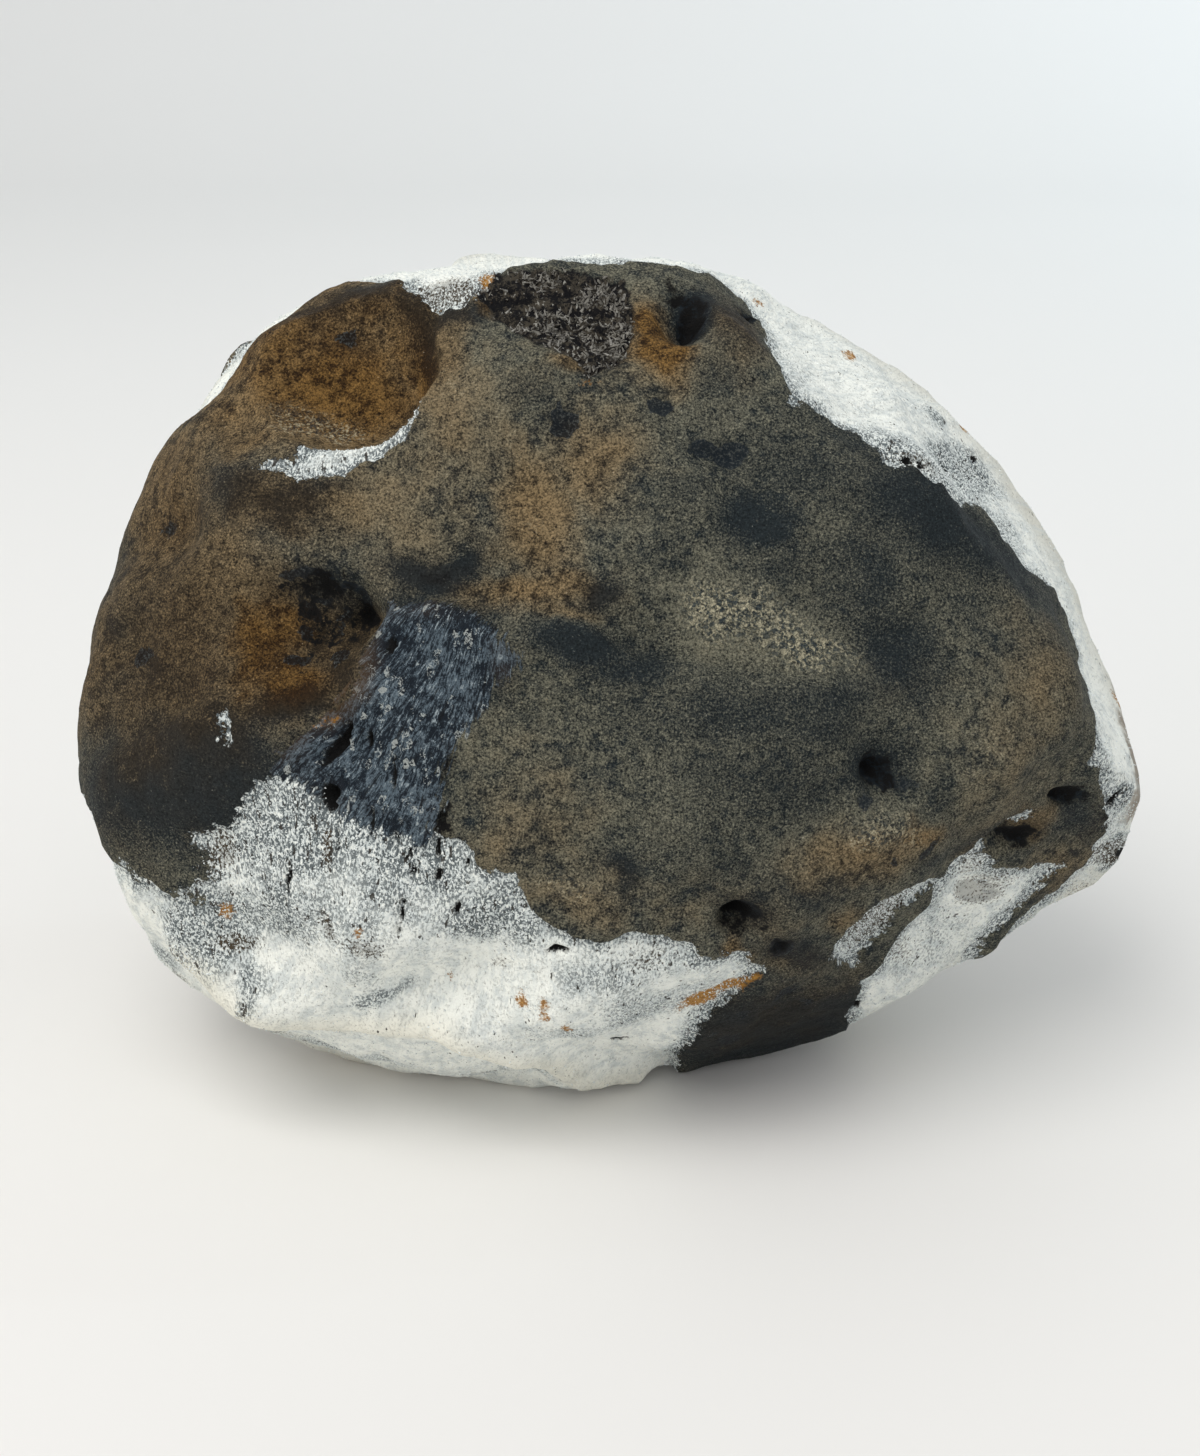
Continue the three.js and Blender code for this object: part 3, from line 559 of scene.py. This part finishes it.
def stone_fields(dirs):
    """The finished skin's distances from the centre, and the named fields over it."""
    place = angles(dirs)
    far = skin_distance(dirs)
    points = dirs * far[:, None]
    away = np.hypot(*place)
    coarse, mid = cloud(points, 5, seed=3.1), cloud(points, 1.9, seed=7.7)

    crust, glassy, bed = layer_edges(place, points, coarse, mid)
    on_crust = smoothstep(crust, -0.5, 0.4)
    on_glass = smoothstep(glassy, -0.4, 0.6)
    on_bed = smoothstep(bed, -0.4, 0.8)
    broken = (1 - on_crust) * (1 - on_glass)
    dusty = on_crust * (1 - on_glass)

    far = far + CRUST_THICKNESS * (on_crust - 0.5) * (1 - 0.6 * on_glass)
    rough = blot(place, ROUGH)
    knobs = cloud(points, 2.6, 3, seed=4.4) + 0.6 * mid * rough
    far += (0.12 + 0.26 * rough) * knobs * on_crust * (1 - on_bed)
    far += broken * (0.22 * cloud(points, 3.2, 3, seed=9.3) + 0.1 * mid)
    far += (0.34 * on_glass + 0.12 * broken) * streak_relief(place)
    lumps = smoothstep(cracks(points, 2.1, seed=2.2), 0.02, 0.45)
    far += on_bed * (0.7 * lumps - 0.75 + 0.5 * mid)

    ragged = strayed(place, points, 0.25 + 0.7 * dusty, 1.5, 3, seed=6.5)
    dug, pit = hole_relief(ragged, dusty)
    far -= dug * smoothstep(FRONT_TO - away, 0, 10)
    ridge = DEGREE * line_distance(place, FOOT_RIDGE)
    crest, trough = np.exp(-((ridge / 1.6) ** 2)), np.exp(-(((ridge - 5) / 3) ** 2))
    far += (1 - on_crust) * (0.9 * crest - 0.7 * trough)

    drift = strayed(place, points, 2.2, 5, 4, seed=2.5)
    grey = blot(drift, GREY, 1.4)
    spongy = np.maximum(smoothstep(grey, 0.2, 0.9), smoothstep(crust, -4, -1))
    sugar = broken * (0.06 + 0.94 * spongy) * smoothstep(pit, 0.1, -0.6) * smoothstep(away, 125, 75)
    needles = smoothstep(bed, 0, 0.6) * smoothstep(cloud(points, 2.4, seed=8.1), -0.02, 0.3)
    across, along = flow(place)
    return far, {
        "crust": crust, "glassy": glassy, "bed": bed, "pit": pit, "ridge": ridge,
        "sugar": sugar * smoothstep(crust, 0, -0.6), "needles": needles,
        "brown": blot(drift, BROWN), "black": blot(drift, BLACK), "tan": blot(drift, TAN), "grey": grey,
        "dark_marks_and_pit_shade": blot(ragged, DARK_MARKS_AND_PIT_SHADE, 2), "soil": blot(place, SOIL, 1.4), "rust": blot(place, RUST, 1.4),
        "ear": DEGREE * edge_distance(place, EAR) + 0.5 * coarse,
        "flow": np.stack([across, along, 0 * across], 1),
    }


def add_object(name, data):
    made = bpy.data.objects.new(name, data)
    bpy.context.scene.collection.objects.link(made)
    return made


def mesh_of(name, points, triangles, fields):
    mesh = bpy.data.meshes.new(name)
    mesh.vertices.add(len(points))
    mesh.vertices.foreach_set("co", points.astype(np.float32).ravel())
    mesh.loops.add(3 * len(triangles))
    mesh.loops.foreach_set("vertex_index", triangles.astype(np.int32).ravel())
    mesh.polygons.add(len(triangles))
    mesh.polygons.foreach_set("loop_start", np.arange(0, 3 * len(triangles), 3, dtype=np.int32))
    mesh.polygons.foreach_set("use_smooth", np.ones(len(triangles), bool))
    for field, values in fields.items():
        kind, key = ("FLOAT_VECTOR", "vector") if values.ndim == 2 else ("FLOAT", "value")
        layer = mesh.attributes.new(field, kind, "POINT")
        layer.data.foreach_set(key, values.astype(np.float32).ravel())
    mesh.update()
    mesh.validate()
    return add_object(name, mesh)


def make_stone(finish):
    dirs, triangles = ball_mesh(FINENESS)
    dirs = dirs * (SPREAD, SPREAD, 1) + (0, 0, SHIFT)
    dirs /= np.linalg.norm(dirs, axis=1)[:, None]
    far, fields = stone_fields(dirs)
    points = (dirs * far[:, None]) @ FACE + CENTRE
    points[:, 2] = np.maximum(points[:, 2], 0)
    fields["sugar"] = fields["sugar"] * smoothstep(points[:, 2], *GRAIN_CLEARANCE)
    stone = mesh_of("geode_stone", points * MM, triangles, fields)
    stone.data.materials.append(finish)
    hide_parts("geode")
    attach(stone, "root")
    return stone


# ---- Finishes ----

class Value:
    """A socket in a tree of nodes: Python's operators on it add Math nodes."""

    def __init__(self, maker, socket):
        self.maker, self.socket = maker, socket

    def also(self, output):
        """Another output of the node that this value comes from."""
        return Value(self.maker, self.socket.node.outputs[output])

    def math(self, operation, *others):
        return self.maker.node("ShaderNodeMath", dict(enumerate(others)), operation=operation)

    def __add__(self, other):
        return self.math("ADD", self, other)

    def __sub__(self, other):
        return self.math("SUBTRACT", self, other)

    def __rsub__(self, other):
        return self.math("SUBTRACT", other, self)

    def __mul__(self, other):
        return self.math("MULTIPLY", self, other)

    __radd__, __rmul__ = __add__, __mul__

    def at_least(self, other):
        return self.math("MAXIMUM", self, other)

    def rise(self, low, high):
        """0 below low, 1 above high, smooth between; a falling step when low is above high."""
        sockets = {0: self, 1: low, 2: high}
        return self.maker.node("ShaderNodeMapRange", sockets, interpolation_type="SMOOTHSTEP")


class NodeMaker:
    """Adds nodes to a tree."""

    def __init__(self, tree):
        self.tree = tree

    def node(self, kind, sockets=None, output=0, **settings):
        made = self.tree.nodes.new(kind)
        for key, value in settings.items():
            setattr(made, key, value)
        for key, value in (sockets or {}).items():
            if isinstance(value, Value):
                self.tree.links.new(value.socket, made.inputs[key])
            else:
                made.inputs[key].default_value = value
        return Value(self, made.outputs[output]) if len(made.outputs) else None


class Paint(NodeMaker):
    """One finish: a Principled shader fed by expressions over the piece's own coordinates and fields."""

    def __init__(self, name):
        self.material = bpy.data.materials.new(name)
        self.material.use_nodes = True
        super().__init__(self.material.node_tree)
        self.tree.nodes.clear()

    def field(self, name, output="Fac"):
        return self.node("ShaderNodeAttribute", output=output, attribute_name=name)

    def place(self):
        """Right, up and out of the broad face, in millimetres from the stone's middle."""
        return self.node("ShaderNodeMapping", {
            "Vector": self.node("ShaderNodeTexCoord", output="Object"), "Location": tuple(-(FACE @ CENTRE)),
            "Rotation": (LEAN - pi / 2, 0, 0), "Scale": (1 / MM,) * 3})

    def drawn_out(self, vector, squeeze):
        """The vector with its second part squeezed, so that a pattern read with it is longer that way."""
        return self.node("ShaderNodeVectorMath", {0: vector, 1: (1, squeeze, 1)}, operation="MULTIPLY")

    def shade(self, colour, value):
        """A colour made lighter or darker by a number."""
        return self.node("ShaderNodeVectorMath", {0: colour, 3: value}, operation="SCALE")

    def noise(self, vector, size, detail=2.0, rough=0.5, warp=0.0):
        return self.node("ShaderNodeTexNoise", {
            "Vector": vector, "Scale": 1 / size, "Detail": detail, "Roughness": rough, "Distortion": warp})

    def crumbs(self, vector, size):
        """A random number for each cell of a broken-up pattern."""
        return self.node("ShaderNodeTexVoronoi", {"Vector": vector, "Scale": 1 / size}, "Color")

    def mix(self, factor, a, b):
        """Colour a where the factor is 0, b where it is 1."""
        a, b = [colour if isinstance(colour, Value) else (*colour, 1) for colour in (a, b)]
        return self.node("ShaderNodeMix", {0: factor, 6: a, 7: b}, 2, data_type="RGBA")

    def layers(self, colour, *coats):
        """A colour with coats laid over it in turn: how far each one covers, and its own colour."""
        for factor, coat in coats:
            colour = self.mix(factor, colour, coat)
        return colour

    def finish(self, colour, roughness, height, specular=0.5):
        """height is in millimetres."""
        bump = self.node("ShaderNodeBump", {"Strength": 1.0, "Distance": MM, "Height": height})
        shader = self.node("ShaderNodeBsdfPrincipled", {
            "Base Color": colour, "Roughness": roughness, "Normal": bump, "Specular IOR Level": specular})
        self.node("ShaderNodeOutputMaterial", {"Surface": shader})
        return self.material


# Colours of the crust
# PITCH is the near-black of the blackest crust, and also the painted shade inside the slits and holes.
PITCH = (0.004, 0.004, 0.004)
BLUE_GROUND, BROWN_GROUND, RUST_GROUND = (0.014, 0.02, 0.023), (0.026, 0.019, 0.011), (0.028, 0.013, 0.003)
OLIVE_DUST, TAN_DUST, RUST_DUST = (0.145, 0.14, 0.102), (0.195, 0.142, 0.076), (0.17, 0.095, 0.028)
WORM_GAP, WORM_GRAIN = (0.022, 0.032, 0.038), (0.36, 0.33, 0.23)
# The colours of the small dark marks: painted shade in the pits and holes, and dark cracks.
BLUE_MARK_SHADE, BROWN_MARK_SHADE, GREY_MARK_SHADE = (0.009, 0.014, 0.019), (0.007, 0.005, 0.004), (0.05, 0.056, 0.056)
PALE_FLECK_AND_GLINT = (0.4, 0.39, 0.34)
BRIGHT_RUST, DARK_RUST = (0.52, 0.27, 0.06), (0.27, 0.12, 0.02)
# Colours of the quartz body
WHITE_SUGAR, COOL_SUGAR = (0.9, 0.92, 0.86), (0.68, 0.72, 0.7)
WARM_SUGAR, CREAM_AND_CREST_HIGHLIGHT, FAN_GREY = (0.69, 0.68, 0.6), (0.82, 0.78, 0.64), (0.6, 0.65, 0.64)
EAR_BROWN, SPONGE_GREY = (0.25, 0.205, 0.155), (0.53, 0.585, 0.59)
LACE_GAP, EARTH, SLIT_BROWN = (0.055, 0.07, 0.076), (0.06, 0.044, 0.026), (0.035, 0.03, 0.024)
# Colours of the glassy layer and the crystal bed
GLASS_BLACK, GLASS_BLUE, GLASS_SLIT = (0.006, 0.011, 0.018), (0.105, 0.142, 0.172), (0.004, 0.006, 0.009)
GLASS_STREAK, GLASS_CRUMB, GLASS_STAIN = (0.4, 0.46, 0.48), (0.44, 0.47, 0.45), (0.1, 0.055, 0.018)
BED_GAP, BED_LUMP, BED_NEEDLE = (0.004, 0.004, 0.005), (0.058, 0.05, 0.037), (0.4, 0.39, 0.35)


class StonePaint(Paint):
    """The stone's finish, with the patterns that its layers share. Every pattern swings evenly about 0."""

    def __init__(self):
        super().__init__("crust_and_quartz")
        self.at = self.place()
        self.along = self.field("flow", "Vector")
        self.broad, self.patchy = self.pattern(13), self.pattern(4.2)
        self.ragged, self.speck = self.pattern(1.2), self.pattern(0.3, 3, 0.7)
        self.fibre = self.pattern(0.21, 3, 0.65, 0.5)
        self.uneven = self.patchy * 0.6 + self.broad * 0.6
        self.ochre = (self.field("brown") + self.uneven * 0.8).rise(0.1, 0.9)
        self.dark = (self.field("black") + self.uneven * 1.15 + self.ragged * 1.4).rise(0.05, 1.1)

    def pattern(self, size, detail=3, rough=0.5, warp=0.0, squeeze=1):
        """Noise about size millimetres across; a squeeze below 1 makes it longer upwards."""
        return self.noise(self.drawn_out(self.at, squeeze), size, detail, rough, warp) - 0.5

    def wisps(self, size, squeeze, detail, rough, warp=0.0):
        """Noise drawn out along the flow of the glassy layer."""
        return self.noise(self.drawn_out(self.along, squeeze), size, detail, rough, warp) - 0.5


def dusty_crust(paint):
    """A blue-black ground with olive and brown dust, all of it finely grained."""
    black, speck, fibre = paint.field("black"), paint.speck, paint.fibre
    thick = paint.field("tan") + paint.uneven * 0.6
    rich = (paint.field("brown") + paint.uneven * 0.6).rise(0.75, 1.7)
    cover = paint.uneven * 2.1 - paint.dark * 1.2 + paint.ochre * 0.08 + thick.rise(0.05, 0.9) * 0.5 + 0.48
    cover = cover + paint.ragged * (paint.ochre * 0.9 + 2.5) + fibre * (3 - paint.ochre * 1.2) + speck * 0.9
    ground = paint.mix(rich, paint.mix(paint.ochre, BLUE_GROUND, BROWN_GROUND), RUST_GROUND)
    dust = paint.mix(rich, paint.mix(paint.ochre, OLIVE_DUST, TAN_DUST), RUST_DUST)
    worm, wormy = paint.pattern(0.5, 3, 0.6, 0.8), thick.rise(0.42, 0.8)
    coat = paint.layers(
        ground,
        (cover.rise(-0.3, 1.35), dust),
        (paint.dark * black.rise(1, 1.5) * 0.85, PITCH),
        (wormy * worm.rise(-0.01, -0.08) * 0.9, WORM_GAP),
        (wormy * worm.rise(0.02, 0.10) * 0.85, WORM_GRAIN))
    coat = paint.shade(coat, (fibre * 2.8 + speck * 2.8 + 1).at_least(0.15))

    # Small dark marks: mostly painted shade in the pits and holes, some dark cracks.
    marked_and_shaded = (paint.field("dark_marks_and_pit_shade") + paint.ragged * 1.2 + speck * 0.6).rise(0.45, 0.7)
    mark_and_pit_shade = paint.mix(speck.rise(0, 0.12), paint.mix(paint.ochre, BLUE_MARK_SHADE, BROWN_MARK_SHADE), GREY_MARK_SHADE)
    # Sparse pale flecks: partly pale grains, partly painted glints.
    flecks_and_glints = (speck + fibre * 0.5).rise(0.24, 0.28)
    return paint.layers(coat, (marked_and_shaded * 0.94, mark_and_pit_shade), (flecks_and_glints * 0.8, PALE_FLECK_AND_GLINT))


def sugary_quartz(paint):
    """White sugar that opens into a lace of dark gaps and upright slits. Returns its colour and the gaps."""
    patchy, ragged, speck = paint.patchy, paint.ragged, paint.speck
    near_crust = paint.field("crust").rise(-3.5, -0.2) * 0.9
    spongy = (paint.field("grey") + paint.uneven * 0.8).at_least(near_crust).rise(0.05, 0.95)
    lace = paint.pattern(0.27, 2, 0.65, 0.4, squeeze=0.55)
    gap = (lace + spongy * 0.11 + patchy * 0.12 + ragged * 0.15).rise(0.05, 0.15)
    slit = (paint.pattern(0.6, 2, 0.6, squeeze=0.25) + spongy * 0.09 + lace * 0.12).rise(0.19, 0.23)
    frost = (paint.wisps(0.7, 0.4, 4, 0.7) + patchy * 0.4).rise(-0.06, 0.16)
    turned_back = paint.node("ShaderNodeSeparateXYZ", {0: paint.at}, 2).rise(8, -3)
    brown_ear = (paint.field("ear") + ragged * 4 + patchy * 5).rise(0, 2.4) * 0.85
    earth = (paint.field("soil") + speck * 2 + lace * 1.5).rise(0.3, 0.8) * (gap * 0.5 + 0.45)

    quartz = paint.layers(
        paint.mix(frost, WHITE_SUGAR, COOL_SUGAR),
        (turned_back, WARM_SUGAR),
        (brown_ear, EAR_BROWN),
        (paint.wisps(1.3, 0.12, 3, 0.6).rise(0, 0.2) * 0.5, FAN_GREY),
        (spongy * lace.rise(-0.2, 0.02), SPONGE_GREY),
        # A cream line along the foot's ridge: partly its own tint, partly a painted highlight on the crest.
        (paint.field("ridge").rise(3, 0.3) * 0.5, CREAM_AND_CREST_HIGHLIGHT),
        (gap * (spongy * 0.75 + 0.12), LACE_GAP),
        (earth, EARTH),
        (slit * 0.9, SLIT_BROWN))
    return quartz, gap


def glassy_layer(paint):
    """Blue-black, with fine grey streaks and pale angular crumbs. Returns its colour and the streaks."""
    streak, swirl = paint.wisps(0.3, 0.2, 4, 0.75, 0.8), paint.pattern(0.45, 3, 0.7, 1.4)
    thread = streak * 0.65 + swirl * 0.35
    sheen = (thread + paint.patchy * 0.25 + paint.ragged * 0.2 - paint.dark * 0.05).rise(-0.05, 0.08)
    crumb = paint.crumbs(paint.drawn_out(paint.at, 0.7), 0.7) + swirl * 0.9
    by_pocket = paint.ochre * paint.field("glassy").rise(3, 0.5)
    glass = paint.layers(
        paint.mix(sheen, GLASS_BLACK, GLASS_BLUE),
        ((thread + paint.ragged * 0.3).rise(0.07, 0.15) * 0.75, GLASS_STREAK),
        (paint.wisps(0.8, 0.14, 3, 0.65).rise(0.10, 0.16) * 0.85, GLASS_SLIT),
        (crumb.rise(0.86, 0.89) * 0.75, GLASS_CRUMB),
        (by_pocket * 0.8, GLASS_STAIN))
    return glass, streak


def bed_rock(paint):
    """Black gaps between brown-grey lumps, with white needle tips."""
    lump, needle = paint.pattern(1.1, 3, 0.65, 0.4), paint.pattern(0.6, 2, 0.6, 0.4, squeeze=0.55)
    rock = paint.mix((lump + paint.fibre * 0.6).rise(-0.06, 0.12), BED_GAP, BED_LUMP)
    return paint.mix((needle + lump * 0.5).rise(0.14, 0.20) * 0.8, rock, BED_NEEDLE)


def stone_finish():
    paint = StonePaint()
    ragged, speck, pit = paint.ragged, paint.speck, paint.field("pit")
    wear = ragged * 2.2 + speck
    on_crust = (paint.field("crust") + wear).rise(-0.1, 0.1)
    on_glass = (paint.field("glassy") + wear + paint.wisps(0.5, 0.12, 2, 0.6) * 4.5).rise(-0.3, 0.3)
    on_bed = (paint.field("bed") + wear).rise(-0.2, 0.3)
    dusty = on_crust * (1 - on_glass)
    # The slits and holes are painted near-black: painted shade inside them, crisp in the quartz and soft in
    # the crust.
    crisp_pit_shade = (pit + speck * 0.5).rise(-0.08, 0.12) * (1 - dusty)
    soft_pit_shade = (pit + ragged * 5 + speck * 3).rise(-0.9, 0.3) * dusty
    rusty = (paint.field("rust") + ragged * 1.2 + speck * 1.6).rise(0.45, 0.95)

    quartz, gap = sugary_quartz(paint)
    glass, streak = glassy_layer(paint)
    colour = paint.layers(
        quartz,
        (on_crust, dusty_crust(paint)),
        (on_glass, glass),
        (on_bed, bed_rock(paint)),
        (crisp_pit_shade.at_least(soft_pit_shade), PITCH),
        (rusty * 0.95, paint.mix(speck.rise(-0.1, 0.1), BRIGHT_RUST, DARK_RUST)))
    shine = on_glass * 0.35 + paint.dark * on_crust * 0.15
    height = speck * 0.16 + ragged * 0.2 + (paint.fibre + 0.5) * on_crust * 0.2
    height = height - gap * (1 - on_crust) * 0.06 + (streak + 0.5) * on_glass * 0.15
    return paint.finish(colour, 0.85 - shine, height, specular=0.15)


def grain_finish(name, bright, dull, patch):
    """Small crystals, some of them dulled by dirt in patches about patch millimetres across."""
    paint = Paint(name)
    at = paint.place()
    colour = paint.mix(paint.noise(at, patch, 2, 0.7).rise(0.42, 0.62), bright, dull)
    roughness = paint.noise(at, 1, 1) * 0.4 + 0.2
    return paint.finish(colour, roughness, paint.noise(at, 0.3, 1) * 0.02)


# ---- Crystals scattered over the stone ----

SUNK = 0.3  # the share of a crystal's length that is moved into the stone


def grow_crystals(name, stone, where, sides, sizes, finish, seed):
    """Pointed crystals spread over the stone as thickly as its field named where says, as one plain mesh."""
    tree = bpy.data.node_groups.new(name, "GeometryNodeTree")
    tree.interface.new_socket("Stone", in_out="INPUT", socket_type="NodeSocketGeometry")
    for label in sizes:
        tree.interface.new_socket(label, in_out="INPUT", socket_type="NodeSocketFloat")
    tree.interface.new_socket("Crystals", in_out="OUTPUT", socket_type="NodeSocketGeometry")
    make = NodeMaker(tree)
    start = make.node("NodeGroupInput", output="Stone")
    thick = make.node("GeometryNodeInputNamedAttribute", {"Name": where}, "Attribute")
    spots = make.node("GeometryNodeDistributePointsOnFaces", {
        "Mesh": start, "Density": thick * start.also("Density"), "Seed": seed}, "Points")
    point = make.node("GeometryNodeMeshCone", {
        "Vertices": sides, "Radius Top": 0.0, "Radius Bottom": start.also("Radius"),
        "Depth": start.also("Length")}, "Mesh")
    sunk = make.node("ShaderNodeCombineXYZ", {"Z": start.also("Length") * -SUNK})
    point = make.node("GeometryNodeTransform", {"Geometry": point, "Translation": sunk})
    lean = start.also("Lean")
    low = make.node("ShaderNodeCombineXYZ", {"X": lean * -1, "Y": lean * -1, "Z": 0.0})
    high = make.node("ShaderNodeCombineXYZ", {"X": lean, "Y": lean, "Z": tau})
    tilt = make.node("FunctionNodeRandomValue", {0: low, 1: high, "Seed": seed + 1}, data_type="FLOAT_VECTOR")
    turn = make.node("FunctionNodeRotateRotation", {
        "Rotation": spots.also("Rotation"), "Rotate By": tilt}, rotation_space="LOCAL")
    scale = make.node("FunctionNodeRandomValue", {
        2: start.also("Smallest"), 3: start.also("Largest"), "Seed": seed + 2}, 1)
    grown = make.node("GeometryNodeInstanceOnPoints", {
        "Points": spots, "Instance": point, "Rotation": turn, "Scale": scale})
    grown = make.node("GeometryNodeRealizeInstances", {"Geometry": grown})
    grown = make.node("GeometryNodeSetShadeSmooth", {"Geometry": grown, "Shade Smooth": False})
    grown = make.node("GeometryNodeSetMaterial", {"Geometry": grown, "Material": finish})
    make.node("NodeGroupOutput", {"Crystals": grown})

    piece = add_object(name, stone.data)
    growth = piece.modifiers.new("growth", "NODES")
    growth.node_group = tree
    for item in tree.interface.items_tree:
        if item.name in sizes:
            growth[item.identifier] = sizes[item.name]
    evaluated = piece.evaluated_get(bpy.context.evaluated_depsgraph_get())
    grown_mesh = bpy.data.meshes.new_from_object(evaluated)
    piece.modifiers.remove(growth)
    piece.data = grown_mesh
    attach(piece, "root")


# ---- Floor, light and camera ----

def make_sweep():
    """A pale board that lies flat and curves up far behind the stone, in metres."""
    radius, back, front, half, top = 0.5, 0.9, -1.6, 2.2, 2.4
    bend = np.linspace(0, pi / 2, 25)
    profile = [(front, 0.0), (back, 0.0)]
    profile += [(back + radius * sin(a), radius - radius * cos(a)) for a in bend[1:]]
    profile.append((back + radius, top))
    points = np.array([(x, y, z) for y, z in profile for x in (-half, half)])
    rows = 2 * np.arange(len(profile) - 1)[:, None]
    triangles = np.concatenate([rows + (0, 1, 3), rows + (0, 3, 2)])
    sweep = mesh_of("sweep", points, triangles, {})
    paint = Paint("pale_board")
    at = paint.node("ShaderNodeTexCoord", output="Object")
    mottle = paint.noise(at, 0.35, 2)
    colour = paint.mix(mottle, (0.80, 0.79, 0.765), (0.83, 0.82, 0.80))
    sweep.data.materials.append(paint.finish(colour, 0.55, paint.noise(at, 0.002, 2) * 0.01))


def point_at(piece, place, target):
    """Moves a light or the camera to a place and turns it to face another."""
    piece.location = place
    piece.rotation_euler = (Vector(target) - piece.location).to_track_quat("-Z", "Y").to_euler()


def area_light(name, place, target, size, watts, colour):
    lamp = bpy.data.lights.new(name, "AREA")
    lamp.shape = "RECTANGLE"
    lamp.size, lamp.size_y = size
    lamp.energy, lamp.color = watts, colour
    point_at(add_object(name, lamp), place, target)


def light_scene():
    world = bpy.data.worlds.new("room")
    world.use_nodes = True
    room = world.node_tree.nodes["Background"]
    room.inputs["Color"].default_value = (0.97, 0.98, 1, 1)
    room.inputs["Strength"].default_value = 0.7
    bpy.context.scene.world = world
    bpy.context.scene.view_settings.view_transform = "Standard"
    middle = (0, 0, 0.04)
    area_light("softbox", place=(-0.28, -0.35, 0.9), target=middle, size=(0.6, 0.6), watts=4.8,
               colour=(1, 0.985, 0.96))
    area_light("side_fill", place=(-0.9, -0.5, 0.35), target=(0.1, 0.1, 0), size=(0.8, 0.5), watts=1.4,
               colour=(1, 0.86, 0.7))
    area_light("backdrop_light", place=(1.0, 0.4, 1.0), target=(0.95, 1.4, 0.5), size=(0.6, 0.6), watts=8.5,
               colour=(0.7, 0.88, 1))


CAMERA_DISTANCE = 255  # from the stone's middle, straight out of the broad face
AIM_LOWER, AIM_LEFT = 7.31, 1.135  # how far the camera aims below and left of the middle


def make_camera():
    lens = bpy.data.cameras.new("camera")
    lens.lens, lens.sensor_width = 50, 36
    camera = add_object("camera", lens)
    right, up, out = FACE * MM
    middle = CENTRE * MM
    point_at(camera, middle + out * CAMERA_DISTANCE, middle - up * AIM_LOWER - right * AIM_LEFT)
    bpy.context.scene.camera = camera


make_camera()
light_scene()
make_sweep()
stone = make_stone(stone_finish())
grow_crystals(
    "quartz_grains", stone, "sugar", 5,
    {"Density": 6e6, "Radius": 0.14 * MM, "Length": 0.26 * MM, "Lean": 0.5, "Smallest": 0.5, "Largest": 1.3},
    grain_finish("sugar_quartz", (0.80, 0.84, 0.82), (0.46, 0.50, 0.50), 0.6), seed=11)
grow_crystals(
    "bed_crystals", stone, "needles", 6,
    {"Density": 9e6, "Radius": 0.2 * MM, "Length": 0.8 * MM, "Lean": 1.1, "Smallest": 0.35, "Largest": 1.3},
    grain_finish("bed_quartz", (0.20, 0.19, 0.165), (0.034, 0.029, 0.022), 0.7), seed=23)
